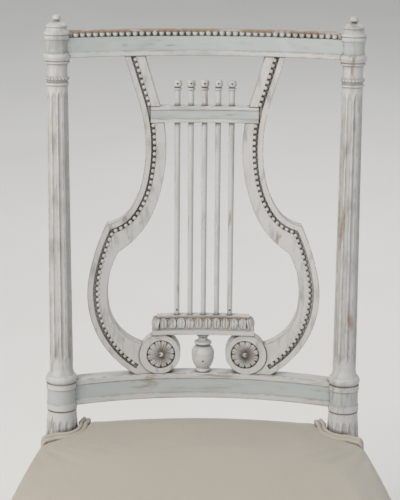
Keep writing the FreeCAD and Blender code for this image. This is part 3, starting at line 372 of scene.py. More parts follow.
def painted_wood(name, bands=(), grain=(1, 1, 1), rub=1.0, dirt_and_shade=1.0, worn_bands=(), hollows=(0.42, 0.97),
                 chips=(0.44, 0.56)):
    """Chalky paint, rubbed on edges, with painted shade in the hollows.

    It is grey-green in the bands and bare in the worn bands, both heights of the back. The grain is 1 across
    the strokes and small along them. Hollows and chips are where their patterns begin and end; the hollows'
    pattern lays painted shade. Dirt and shade scales the dirt streaks and the painted shade together.
    """
    own = looks()
    shader = Shader(name)
    here = shader.place()
    cloud = shader.noise(here, 22.0, 4.0)
    strokes = shader.noise(shader.place(scale=grain), 110.0, 4.0, 0.62)
    fine = shader.noise(here, 420.0, 2.0)
    paint = own.paint
    warm = tuple(c * k for c, k in zip(paint, (0.93, 0.90, 0.86)))
    colour = shader.blend(shader.ramp(cloud, 0.5, 0.75, 0.0, 0.6), paint, warm)
    if bands:
        patchy = shader.ramp(shader.noise(here, 38.0, 3.0), 0.28, 0.5, 0.65, 1.0)
        field = shader.times(within_heights(shader, here, bands), patchy)
        colour = shader.blend(field, colour, own.field)

    dirt = shader.times(shader.ramp(strokes, 0.48, 0.72), shader.ramp(cloud, 0.35, 0.6, 0.25, 1.0))
    grey = tuple(0.5 * p + 0.5 * g for p, g in zip(paint, own.dirt_and_shade_colour))
    colour = shader.blend(shader.times(dirt, 0.55 * dirt_and_shade), colour, grey)

    # Painted shade: an occlusion mask darkens hollows, flutes and bead channels towards the dirt and shade
    # colour.
    hollow = shader.add("ShaderNodeAmbientOcclusion", {"Distance": 0.006}, out="AO", samples=8)
    shade_mask = shader.ramp(hollow, *hollows, 1.0, 0.0)
    shade_darkened = shader.times(shade_mask, shader.ramp(cloud, 0.3, 0.6, 0.6, 1.0))
    colour = shader.blend(shader.times(shade_darkened, min(1.0, 0.85 * dirt_and_shade)), colour, own.dirt_and_shade_colour)

    rounded = shader.add("ShaderNodeBevel", {"Radius": 0.0013}, samples=6)
    flat = shader.add("ShaderNodeNewGeometry", out="True Normal")
    alike = shader.add("ShaderNodeVectorMath", {0: rounded, 1: flat}, out="Value", operation="DOT_PRODUCT")
    edge = shader.times(shader.ramp(alike, 0.90, 0.985, 1.0, 0.0), shader.ramp(hollow, 0.55, 0.85))
    chipped = shader.ramp(shader.noise(here, 70.0, 5.0, 0.65), *chips)
    worn = shader.times(edge, chipped)
    long_rub = shader.noise(shader.place(scale=grain, location=(0.3, 0.2, 0.1)), 70.0, 4.0, 0.6)
    worn = shader.math("MAXIMUM", worn, shader.ramp(long_rub, 0.62, 0.70, 0.0, 0.6))
    if worn_bands:
        patches = shader.ramp(shader.noise(here, 45.0, 3.0), 0.36, 0.52, 0.35, 1.0)
        band = shader.times(within_heights(shader, here, worn_bands), patches)
        worn = shader.math("MAXIMUM", worn, band)
    bare = shader.times(worn, min(1.0, 0.85 * rub))
    figure = shader.blend(strokes, tuple(c * 0.7 for c in own.wood), own.wood)
    colour = shader.blend(bare, colour, figure)

    height = shader.math("SUBTRACT", shader.math("ADD", strokes, shader.times(fine, 0.3)), bare)
    roughness = shader.ramp(fine, 0.3, 0.7, 0.5, 0.68)
    return shader.surface(colour, roughness, height, 0.35, 0.0004)


def bare_wood(name):
    """Unpainted beech, with flecks along the grain."""
    shader = Shader(name)
    grain = shader.noise(shader.place(scale=(1.0, 1.0, 9.0)), 60.0, 4.0)
    fleck = shader.noise(shader.place(scale=(6.0, 6.0, 1.0)), 300.0, 2.0)
    colour = shader.blend(shader.ramp(grain, 0.3, 0.7), srgb(150, 112, 76), srgb(186, 150, 108))
    colour = shader.blend(shader.ramp(fleck, 0.6, 0.75, 0.0, 0.5), colour, srgb(112, 78, 50))
    return shader.surface(colour, shader.ramp(grain, 0.3, 0.7, 0.5, 0.7), fleck, 0.2, 0.0003)


def dull_steel(name):
    shader = Shader(name)
    spots = shader.noise(shader.place(), 500.0, 4.0)
    colour = shader.blend(shader.ramp(spots, 0.45, 0.65), srgb(92, 88, 84), srgb(70, 52, 40))
    roughness = shader.ramp(spots, 0.4, 0.7, 0.35, 0.7)
    return shader.surface(colour, roughness, spots, 0.3, 0.0002, 0.5, Metallic=0.9)


def rusty_iron(name):
    shader = Shader(name)
    spots = shader.noise(shader.place(), 600.0, 3.0)
    return shader.surface(shader.blend(spots, srgb(96, 66, 44), srgb(58, 44, 34)), 0.7, spots, 0.3, 0.0002)


def threads(shader, along, across):
    """Over and under of a plain weave, from two coordinates counted in threads."""
    warp = shader.math("ABSOLUTE", shader.math("SINE", shader.times(along, math.pi)))
    weft = shader.math("ABSOLUTE", shader.math("SINE", shader.times(across, math.pi)))
    turn = shader.math("ADD", shader.math("FLOOR", along), shader.math("FLOOR", across))
    over = shader.math("MODULO", shader.math("ABSOLUTE", turn), 2.0)
    over = shader.math("GREATER_THAN", over, 0.5)
    high = shader.times(warp, over)
    low = shader.times(weft, shader.math("SUBTRACT", 1.0, over))
    return shader.math("ADD", high, low)


def woven_cloth(name, colour, pitch, mapped=False):
    """Plain weave over a body, or along the piece's own map on a cord."""
    shader = Shader(name)
    here = shader.place()
    if mapped:
        around, along, _ = shader.apart(shader.add("ShaderNodeUVMap", uv_map="UVMap"))
        slant = shader.math("DIVIDE", shader.math("ADD", around, along), pitch)
        other = shader.math("DIVIDE", shader.math("SUBTRACT", around, along), pitch)
        weave = threads(shader, slant, other)
    else:
        facing = shader.apart(shader.add("ShaderNodeNewGeometry", out="Normal"))
        x, y, z = [shader.math("DIVIDE", part, pitch) for part in shader.apart(here)]
        top = threads(shader, x, y)
        front = threads(shader, x, z)
        side = threads(shader, y, z)
        upright = shader.ramp(shader.math("ABSOLUTE", facing[2]), 0.55, 0.65)
        sideways = shader.ramp(shader.math("ABSOLUTE", facing[0]), 0.65, 0.75)
        walls = shader.add("ShaderNodeMix", {0: sideways, 2: front, 3: side})
        weave = shader.add("ShaderNodeMix", {0: upright, 2: walls, 3: top})
    slubs_x = shader.noise(shader.place(scale=(1.0, 22.0, 22.0)), 70.0, 3.0)
    slubs_y = shader.noise(shader.place(scale=(22.0, 1.0, 1.0)), 70.0, 3.0)
    uneven = shader.times(shader.math("ADD", slubs_x, slubs_y), 0.5)
    cloud = shader.noise(here, 9.0, 3.0)
    # Painted shade: the low edges of the threads and the gaps between them are darkened, over the weave's bump.
    thread_gap_shade = tuple(c * 0.80 for c in colour)
    warm = tuple(c * k for c, k in zip(colour, (0.98, 0.965, 0.93)))
    tone = shader.blend(shader.ramp(weave, 0.1, 0.9), thread_gap_shade, colour)
    tone = shader.blend(shader.ramp(uneven, 0.42, 0.62, 0.0, 0.5), tone, tuple(c * 0.84 for c in colour))
    tone = shader.blend(shader.ramp(cloud, 0.4, 0.7, 0.0, 0.3), tone, warm)
    height = shader.math("ADD", weave, shader.times(uneven, 0.8))
    sheen = {"Sheen Weight": 0.25, "Sheen Roughness": 0.5}
    return shader.surface(tone, 0.88, height, 0.4, 0.00025, 0.2, **sheen)


class Growth(Nodes):
    """A Geometry Nodes tree with named inputs."""

    def __init__(self, name, ports):
        super().__init__(bpy.data.node_groups.new(name, "GeometryNodeTree"))
        for label, kind, value in ports:
            socket = self.tree.interface.new_socket(label, in_out="INPUT", socket_type="NodeSocket" + kind)
            if value is not None:
                socket.default_value = value
        self.tree.interface.new_socket("Copies", in_out="OUTPUT", socket_type="NodeSocketGeometry")
        self.given = self.tree.nodes.new("NodeGroupInput").outputs

    def end(self, instances):
        """Makes the copies real, in one finish."""
        real = self.add("GeometryNodeRealizeInstances", {0: instances})
        finished = self.add("GeometryNodeSetMaterial", {"Geometry": real, "Material": self.given["Finish"]})
        self.tree.links.new(finished, self.tree.nodes.new("NodeGroupOutput").inputs[0])
        return self.tree


def tree_along_path(name):
    """Copies of a bead strung along the holder's edges, a pitch apart."""
    growth = Growth(name, (
        ("Path", "Geometry", None), ("Width", "Float", 0.006), ("Pitch", "Float", 0.007),
        ("Uneven", "Float", 0.06), ("Seed", "Int", 3), ("Finish", "Material", None),
    ))
    given = growth.given
    curve = growth.add("GeometryNodeMeshToCurve", {0: given["Path"]})
    spaced = growth.add("GeometryNodeResampleCurve", {"Curve": curve, "Length": given["Pitch"]}, mode="LENGTH")
    radius = growth.times(given["Width"], 0.5)
    ball = growth.add("GeometryNodeMeshUVSphere", {"Segments": 12, "Rings": 6, "Radius": radius})
    bead = growth.add("GeometryNodeSetShadeSmooth", {"Geometry": ball})
    least = growth.math("SUBTRACT", 1.0, given["Uneven"])
    chance = {2: least, 3: 1.0, "Seed": given["Seed"]}
    size = growth.add("FunctionNodeRandomValue", chance, out=1, data_type="FLOAT")
    return growth.end(growth.add("GeometryNodeInstanceOnPoints", {
        "Points": spaced, "Instance": bead, "Scale": size,
    }))


def tree_of_copies(name):
    """Copies of one carved shape on the holder's points, turned by the directions kept on them."""
    growth = Growth(name, (
        ("Places", "Geometry", None), ("Shape", "Object", None), ("Finish", "Material", None),
    ))
    given = growth.given
    shape = growth.add("GeometryNodeObjectInfo", {"Object": given["Shape"]}, out="Geometry")
    facing, upward = [
        growth.add("GeometryNodeInputNamedAttribute", {"Name": label}, data_type="FLOAT_VECTOR")
        for label in ("facing", "upward")
    ]
    faced = growth.add("FunctionNodeAlignRotationToVector", {"Vector": facing}, axis="Z")
    turned = growth.add("FunctionNodeAlignRotationToVector", {
        "Rotation": faced, "Vector": upward,
    }, axis="Y", pivot_axis="Z")
    return growth.end(growth.add("GeometryNodeInstanceOnPoints", {
        "Points": given["Places"], "Instance": shape, "Rotation": turned,
    }))


def copies(name, shape, places, material):
    """One piece from copies of a shape, at places given as (point, facing, upward)."""
    holder = add_piece(name + "_places", [place[0] for place in places], [], None)
    for index, label in ((1, "facing"), (2, "upward")):
        layer = holder.data.attributes.new(label, "FLOAT_VECTOR", "POINT")
        layer.data.foreach_set("vector", [c for place in places for c in place[index]])
    tree = bpy.data.node_groups.get("Copies of a carving") or tree_of_copies("Copies of a carving")
    grown(holder, tree, {"Shape": shape, "Finish": material}, name)
    bpy.data.objects.remove(shape)


def string_beads(name, runs, width, pitch, material, seed=3, closed=False):
    """One piece from beads along each run of points."""
    tree = bpy.data.node_groups.get("Beads along a path") or tree_along_path("Beads along a path")
    holder = polyline(name + "_path", runs, closed)
    grown(holder, tree, {"Width": width, "Pitch": pitch, "Seed": seed, "Finish": material}, name)


def relief(name, across, along, height, cup, valley, swell=0.0):
    """A leaf or petal that lies along +Y and stands up along +Z, hollowed between its rib and its rims.

    Its sides drop by the valley's share of its height, and near its tip all the way down. Its rows are closest
    at the tip, so that the end is round.
    """
    rows, columns = 10, 14
    vertices, faces = [], []
    for row in range(rows):
        way = math.sin(math.pi / 2 * row / rows)
        for column in range(columns + 1):
            side = column / columns * 2 - 1
            rib = math.exp(-(side / 0.16) ** 2)
            rim = math.exp(-((abs(side) - 0.78) / 0.16) ** 2)
            drop = valley + (1 - valley) * min(1.0, max(0.0, (way - 0.6) / 0.25))
            rise = height(way) * (1 - cup + cup * max(rib, rim)) * (1 - drop * abs(side) ** 6)
            rise += swell * 4 * way * (1 - way)
            vertices.append(Vector((side * across(way), along(way), rise)))
    for row in range(rows - 1):
        for column in range(columns):
            a = row * (columns + 1) + column
            faces.append((a, a + 1, a + columns + 2, a + columns + 1))
    tip = len(vertices)
    vertices.append(Vector((0, along(1), 0)))
    faces += [(tip - columns - 1 + column, tip - columns + column, tip) for column in range(columns)]
    return add_piece(name, vertices, faces, None)


def dome(name, radius, rise):
    """A small round head that faces +Z."""
    rings, sides = 4, 12
    vertices = [Vector((0, 0, rise))]
    for ring in range(1, rings + 1):
        t = math.pi / 2 * ring / rings
        out, up = radius * math.sin(t), rise * math.cos(t)
        for k in range(sides):
            u = 2 * math.pi * k / sides
            vertices.append(Vector((out * math.cos(u), out * math.sin(u), up)))
    faces = [(0, 1 + k, 1 + (k + 1) % sides) for k in range(sides)]
    for ring in range(rings - 1):
        for k in range(sides):
            a, b = 1 + ring * sides + k, 1 + ring * sides + (k + 1) % sides
            faces.append((a, a + sides, b + sides, b))
    return add_piece(name, vertices, faces, None)


def touch(node, x, s):
    """Where a line from the front meets a solid of the back, and the way its surface faces."""
    start = leaned(x, bow_at(x) - 80.0, s)
    inward = (leaned(x, bow_at(x), s) - start).normalized()
    hit, place, normal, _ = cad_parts[node].ray_cast(start, inward)
    if not hit:
        raise RuntimeError("nothing to touch on " + node)
    return place, normal


def tube(name, points, radius, material):
    """A round cord along a closed line of points, with a map that runs along it in metres."""
    sides = 12
    turns = [2 * math.pi * k / sides for k in range(sides)]
    count = len(points)
    vertices, lengths, side = [], [0.0], None
    for index, point in enumerate(points):
        ahead = points[(index + 1) % count]
        forward = (ahead - points[index - 1]).normalized()
        if side is None:
            side = forward.orthogonal().normalized()
        else:
            side = (side - forward * side.dot(forward)).normalized()
        other = forward.cross(side)
        vertices += [point + (side * math.cos(t) + other * math.sin(t)) * radius for t in turns]
        lengths.append(lengths[-1] + (ahead - point).length)
    faces = []
    for i in range(count):
        for k in range(sides):
            j, m = (i + 1) % count, (k + 1) % sides
            faces.append((i * sides + k, i * sides + m, j * sides + m, j * sides + k))
    piece = add_piece(name, vertices, faces, material)
    layer = piece.data.uv_layers.new(name="UVMap")
    girth = 2 * math.pi * radius
    for face in piece.data.polygons:
        i, k = divmod(face.index, sides)
        start, end = lengths[i:i + 2]
        corners = ((k, start), (k + 1, start), (k + 1, end), (k, end))
        for loop, (around, way) in zip(face.loop_indices, corners):
            layer.data[loop].uv = (around / sides * girth, way)
    return piece


def smooth_line(points, rounds):
    """Corners of a closed line drawn round, by cutting each corner in turn."""
    for _ in range(rounds):
        cut = []
        for index, point in enumerate(points):
            ahead = points[(index + 1) % len(points)]
            cut += [point.lerp(ahead, 0.25), point.lerp(ahead, 0.75)]
        points = cut
    return points


def evenly(points, step):
    """A closed line with its points about a step apart."""
    ends = points + points[:1]
    lengths = [(b - a).length for a, b in zip(ends, ends[1:])]
    total = sum(lengths)
    count = round(total / step)
    result, index, passed = [], 0, 0.0
    for k in range(count):
        target = total * k / count
        while passed + lengths[index] < target:
            passed += lengths[index]
            index += 1
        share = (target - passed) / lengths[index]
        result.append(ends[index].lerp(ends[index + 1], share))
    return result


class CHAIR_OT_stage(bpy.types.Operator):
    """Pale floor, soft light and the camera at the photograph's angle"""

    bl_idname = "chair.stage"
    bl_label = "Stage"

    def execute(self, context):
        scene = context.scene
        scene.view_settings.view_transform = "Standard"
        reach = 12.0
        corners = [(-reach, -reach, 0), (reach, -reach, 0), (reach, reach, 0), (-reach, reach, 0)]
        shader = Shader("pale_floor")
        mottled = shader.noise(shader.place(), 3.0, 2.0)
        colour = shader.blend(mottled, srgb(232, 229, 224), srgb(238, 236, 232))
        finish = shader.surface(colour, 0.8, specular=0.2)
        floor = add_piece("floor", corners, [(0, 1, 2, 3)], finish, smooth=False)

        world = bpy.data.worlds.new("studio")
        world.use_nodes = True
        scene.world = world
        sky = Nodes(world.node_tree)
        lit = sky.tree.nodes["Background"]
        lit.inputs["Color"].default_value = (0.93, 0.96, 1.0, 1.0)
        lit.inputs["Strength"].default_value = 0.45
        seen = sky.add("ShaderNodeBackground", {"Color": (0.9, 0.9, 0.9, 1.0)})
        rays = sky.tree.nodes.new("ShaderNodeLightPath").outputs
        shows = sky.math("MAXIMUM", rays["Is Camera Ray"], rays["Is Glossy Ray"])
        either = sky.add("ShaderNodeMixShader", {"Fac": shows, 1: lit.outputs[0], 2: seen})
        sky.tree.links.new(either, sky.tree.nodes["World Output"].inputs["Surface"])
        for name, values in LAMPS.items():
            self.lamp(name, *values)

        view = bpy.data.cameras.new("photo_view")
        view.sensor_width = SENSOR
        view.lens = SENSOR * FOCAL_LENGTH / PICTURE_HEIGHT
        view.clip_start = 0.05
        camera = linked("photo_view", view)
        turned = Matrix.Rotation(CAMERA_TURN, 4, "Z") @ Matrix.Rotation(math.pi / 2 - CAMERA_TILT, 4, "X")
        turned = turned @ Matrix.Rotation(CAMERA_ROLL, 4, "Z")
        camera.matrix_world = Matrix.Translation(on_seat(*CAMERA_STAND)) @ turned
        scene.camera = camera
        return {"FINISHED"}

    def lamp(self, name, place, size, power, colour):
        light = bpy.data.lights.new(name, "AREA")
        light.shape = "DISK"
        light.size = size
        light.energy = power
        light.color = colour
        lamp = linked(name, light)
        lamp.location = place
        aim = Vector(LAMP_AIM) - Vector(place)
        lamp.rotation_euler = aim.to_track_quat("-Z", "Y").to_euler()


class CHAIR_OT_painted_frame(bpy.types.Operator):
    """Worn paint, bare wood, steel and cloth on the frame's own solids"""

    bl_idname = "chair.painted_frame"
    bl_label = "Painted frame"

    def execute(self, context):
        upright = (1.0, 1.0, 0.10)
        level = (0.10, 1.0, 1.0)
        # Posts: more dirt and more painted shade in the flutes.
        posts = painted_wood("paint_posts", [
            (RAIL_BOTTOM + 4.2, RAIL_TOP - 10.6), (CREST_RISE + 6.8, CREST_TOP - 9.8),
        ], upright, rub=1.15, dirt_and_shade=1.4, hollows=(0.52, 1.0))
        crest = painted_wood("paint_crest", [(CREST_RISE + 6.6, CREST_TOP - 7.6)], level,
                             worn_bands=[(CREST_TOP - 1.7, CREST_TOP + 2.0)])
        lower = painted_wood("paint_lower_rail", [(RAIL_BOTTOM + 7.0, RAIL_TOP - 7.2)], level)
        bar = painted_wood("paint_crossbar", [(345.4, 356.2)], level)
        turned = painted_wood("paint_lyre", grain=upright)
        # Arms: more dirt and painted shade in the bead channels, reaching further out.
        arms = painted_wood("paint_arms", grain=(1.0, 1.0, 0.16), rub=1.17, dirt_and_shade=1.3, hollows=(0.36, 0.94),
                            chips=(0.34, 0.48))
        plinth = painted_wood("paint_plinth", grain=level, rub=0.8, dirt_and_shade=1.2, worn_bands=[(91.5, 93.3)])
        rails = painted_wood("paint_seat_rails", grain=(0.3, 0.3, 1.0))
        wood = bare_wood("bare_beech")
        steel = dull_steel("dull_steel")
        finishes = {
            "rear_post": posts, "finial": turned, "crest_rail": crest, "lower_back_rail": lower,
            "lyre_crossbar": bar, "lyre_arm": arms, "lyre_plinth": plinth, "lyre": turned, "front_leg": turned,
            "corner_block_screws": steel, "corner_block": wood, "rail_pegs": wood, "dust_cover_tacks": steel,
            "seat_rail": rails,
            "seat_webbing": woven_cloth("jute_web", srgb(150, 130, 98), 0.0016),
            "seat_hessian": woven_cloth("hessian", srgb(158, 134, 98), 0.0021),
        }
        for name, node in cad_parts.items():
            finish = next((finishes[key] for key in finishes if key in name), None)
            if finish is None:
                continue
            node.data.materials.clear()
            node.data.materials.append(finish)
        return {"FINISHED"}


class CHAIR_OT_beadwork(bpy.types.Operator):
    """Rows of beads on the crest, in the lyre's channel and round the posts' necks"""

    bl_idname = "chair.beadwork"
    bl_label = "Beadwork"

    def execute(self, context):
        own = looks()
        finish = painted_wood("paint_lyre_beads", dirt_and_shade=1.15)
        worn = painted_wood("paint_crest_beads", dirt_and_shade=1.15, worn_bands=[(CREST_TOP - 2.6, CREST_TOP + 1.0)])
        steps = 80
        xs = [GROOVE_END * (2 * i / steps - 1) for i in range(steps + 1)]
        crest = [on_bow(x, GROOVE_DEPTH, GROOVE_HEIGHT) for x in xs]
        string_beads("crest_beads", [crest], own.crest_bead, own.crest_pitch, worn)

        for side, label in SIDES:
            runs = [[on_bow(side * x, BEAD_DEPTH, s) for x, s in run] for run in self.channel()]
            string_beads("lyre_beads_" + label, runs, own.lyre_bead, own.lyre_pitch, finish, seed=5 + side)

        steps = 64
        turns = [2 * math.pi * k / steps for k in range(steps)]
        ring = [(PEARL_RING * math.cos(t), PEARL_RING * math.sin(t)) for t in turns]
        rings = [[leaned(side * HALF_SPACING + x, n, PEARL_HEIGHT) for x, n in ring] for side in (-1, 1)]
        pitch = 2 * math.pi * PEARL_RING * MM / own.pearls
        # Pearls: the strongest painted shade between them, with dirt.
        shade_darkened = painted_wood("paint_pearls", rub=1.2, dirt_and_shade=1.5, hollows=(0.5, 1.0))
        string_beads("post_pearls", rings, pitch * 0.98, pitch, shade_darkened, seed=9, closed=True)
        return {"FINISHED"}

    def channel(self):
        """The bead channel's middle line on the right arm, above and below the crossbar."""
        upper, tip, heading = walk(LYRE_TOP, LYRE_HEADING, LYRE_UPPER, BEAD_LINE)
        lower, _, _ = walk(tip, LYRE_LOWER_HEADING, LYRE_LOWER, BEAD_LINE)
        mitre = math.radians((heading + LYRE_LOWER_HEADING) / 2 - 90.0)
        towards = (math.cos(mitre), math.sin(mitre))

        def past(point):
            return towards[1] * (point[0] - tip[0]) - towards[0] * (point[1] - tip[1])

        upper = [point for point in upper if past(point) > 0]
        lower = [point for point in lower if past(point) < 0]
        line = upper + lower
        above = [point for point in line if CROSSBAR_GAP[1] < point[1] < CREST_RISE - 3]
        below = [point for point in line if point[1] < CROSSBAR_GAP[0]]
        return above, below


class CHAIR_OT_carving(bpy.types.Operator):
    """Leaves along the plinth, rosettes on the volutes and the front legs' blocks, and the nail heads"""

    bl_idname = "chair.carving"
    bl_label = "Carving"

    def execute(self, context):
        finish = painted_wood("paint_carving", dirt_and_shade=1.1)
        copies("plinth_leaves", self.leaf(), self.leaf_places(), finish)

        up = Vector((0, 0, 1))
        x, s = VOLUTE_CENTRE
        flowers = []
        for side, _ in SIDES:
            middle = on_bow(side * x, VOLUTE_DEPTH, s)
            ahead = on_bow(side * x, VOLUTE_DEPTH - 1.0, s) - middle
            rise = on_bow(side * x, VOLUTE_DEPTH, s + 1.0) - middle
            flowers.append((middle, ahead.normalized(), rise.normalized()))
        copies("volute_rosettes", self.petal(), self.petal_places(flowers), finish)

        flowers = []
        for side, _ in SIDES:
            outer = on_seat(side * (FRONT_OUT - BLOCK_SINK), FRONT_BACK_Y - BLOCK_HALF, BLOCK_MIDDLE)
            front = on_seat(side * (FRONT_OUT - BLOCK_HALF), FRONT_FACE_Y + BLOCK_SINK, BLOCK_MIDDLE)
            flowers += [(outer, Vector((side, 0, 0)), up), (front, Vector((0, -1, 0)), up)]
        copies("block_rosettes", self.petal(), self.petal_places(flowers), finish)
        copies("block_bosses", dome("boss", 0.0042, 0.0046), flowers, finish)

        nails = []
        for number in range(1, 6):
            across = (number - 3) * STRING_PITCH
            heights = STRING_NAILS if number in (1, 5) else STRING_NAILS[:1]
            nails += [touch("lyre_string_%d" % number, across, height) for height in heights]
        nails += [touch("lyre_vase", 0.0, height) for height in VASE_NAILS]
        nails += [touch("lyre_arm_" + label, side * x, s) for side, label in SIDES]
        heads = [(place - normal * 0.0002, normal, up) for place, normal in nails]
        copies("nail_heads", dome("nail", 0.0012, 0.0006), heads, rusty_iron("old_nail"))
        return {"FINISHED"}

    def leaf(self):
        half = looks().leaf_pitch / 2
        length, rise = 0.0136, 0.0021

        def across(way):
            body = 0.72 + 0.26 * math.sin(math.pi * min(0.5, way))
            return half * body * math.sqrt(max(0.0, 1 - (max(0.0, way - 0.45) / 0.55) ** 2.4))

        def height(way):
            return rise * (0.75 + 0.5 * way) * (1 - way ** 12)

        return relief("leaf", across, lambda way: length * way, height, cup=0.6, valley=0.6, swell=0.0017)

    def leaf_places(self):
        """A row along the front, one on each corner and two on each end."""
        low, high, near, far = 79.0, 91.4, -11.3, -6.7
        corner_foot, corner_head, end_foot, end_head = 61.4, 57.4, 62.7, 58.0
        pitch = looks().leaf_pitch / MM
        pairs = []
        for index in range(10):
            x = (index - 4.5) * pitch
            pairs.append((on_bow(x, near, low), on_bow(x, far, high), on_bow(x + 1, near, low)))
        for side, _ in SIDES:
            foot = on_bow(side * corner_foot, near + 0.8, low)
            head = on_bow(side * corner_head, far + 0.2, high)
            pairs.append((foot, head, foot + Vector((1, side, 0)) * MM))
            for offset in (-4.6, 5.2):
                foot = on_bow(side * end_foot, offset, low)
                head = on_bow(side * end_head, offset * 0.7, high)
                pairs.append((foot, head, foot + Vector((0, side, 0)) * MM))
        places = []
        for foot, head, beside in pairs:
            up = (head - foot).normalized()
            places.append((foot, (beside - foot).normalized().cross(up), up))
        return places

    def petal(self):
        inner, outer, overlap = 0.0030, 0.0181, 1.06
        spread = math.tan(math.pi / looks().petals)

        def along(way):
            return inner + (outer - inner) * way

        def across(way):
            end = math.sqrt(max(0.0, 1 - (max(0.0, way - 0.75) / 0.25) ** 2))
            return along(way) * spread * end * overlap

        def height(way):
            return (0.0041 - 0.0014 * way) * (1 - way ** 40)

        return relief("petal", across, along, height, cup=0.3, valley=0.15)

    def petal_places(self, flowers):
        """Petals all round each flower, which is given as (middle, facing, upward)."""
        places = []
        for middle, facing, up in flowers:
            across = up.cross(facing)
            for k in range(looks().petals):
                t = 2 * math.pi * (k + 0.5) / looks().petals
                places.append((middle, facing, across * math.cos(t) + up * math.sin(t)))
        return places


class CHAIR_OT_seat_pad(bpy.types.Operator):
    """Linen seat, filled out by a short cloth simulation"""

    bl_idname = "chair.seat_pad"
    bl_label = "Seat pad"

    def execute(self, context):
        own = looks()
        linen = woven_cloth("linen", own.linen, own.thread)
        vertices, faces = [], []
        for name in ("seat_cover", "seat_stuffing"):
            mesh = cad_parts[name].data
            first = len(vertices)
            vertices += [v.co.copy() for v in mesh.vertices]
            faces += [tuple(first + i for i in face.vertices) for face in mesh.polygons]
        pad = add_piece("seat_pad", vertices, faces, linen)
        remesh = pad.modifiers.new("Even", "REMESH")
        remesh.mode = "VOXEL"
        remesh.voxel_size = 0.0047
        pad.modifiers.new("Relax", "SMOOTH").iterations = 6
        self.freeze(pad)
        self.fill(context.scene, pad)
        self.draw_up(pad)
        finish = pad.modifiers.new("Fine", "SUBSURF")
        finish.levels = finish.render_levels = 1
        self.freeze(pad)
        pad.data.polygons.foreach_set("use_smooth", [True] * len(pad.data.polygons))
        settle(pad)
        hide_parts("seat_cover", "seat_stuffing")
        return {"FINISHED"}

    def freeze(self, pad):
        """Turns the modifiers' result into the piece's own mesh."""
        mesh, old = evaluated(pad), pad.data
        pad.modifiers.clear()
        pad.data = mesh
        bpy.data.meshes.remove(old)

    def fill(self, scene, pad):
        """Pressure swells the top, while the edges stay where the frame and the cords hold them."""
        frames, furthest = 20, 0.006
        held, free = (FRAME_TOP - 4.0) * MM, (FRAME_TOP + 14.0) * MM
        rear, aside = on_seat(0, -60.0, 0).y, 0.125
        hold = pad.vertex_groups.new(name="hold")
        rest = [v.co.copy() for v in pad.data.vertices]
        for index, place in enumerate(rest):
            share = min(1.0, max(0.0, (free - place.z) / (free - held)))
            beside_post = place.y > rear and abs(place.x) > aside
            hold.add([index], 1.0 if beside_post else share, "REPLACE")
        settings = pad.modifiers.new("Cloth", "CLOTH").settings
        settings.quality = 5
        settings.mass = 0.3
        settings.tension_stiffness = 40.0
        settings.compression_stiffness = 40.0
        settings.bending_stiffness = 2.0
        settings.use_pressure = True
        settings.uniform_pressure_force = 4.0
        settings.vertex_group_mass = "hold"
        settings.effector_weights.gravity = 0.0
        for number in range(1, frames + 1):
            scene.frame_set(number)
        swollen = evaluated(pad)
        pad.modifiers.clear()
        for vertex, target, before in zip(pad.data.vertices, swollen.vertices, rest):
            move = target.co - before
            if move.length > furthest:
                move = move.normalized() * furthest
            vertex.co = before + move
        bpy.data.meshes.remove(swollen)
        scene.frame_set(1)

    def draw_up(self, pad):
        """The cover rises a little where it is drawn round the posts."""
        lift, ring, spread = 3.0, 31.0, 15.0
        for vertex in pad.data.vertices:
            x, y, z = abs(vertex.co.x) / MM, vertex.co.y / MM - SHIFT_Y, vertex.co.z / MM
            away = math.hypot(x - HALF_SPACING, y - POST_Y)
            share = min(1.0, max(0.0, (z - FRAME_TOP - 8.0) / 10.0))
            vertex.co.z += lift * MM * share * math.exp(-((away - ring) / spread) ** 2)


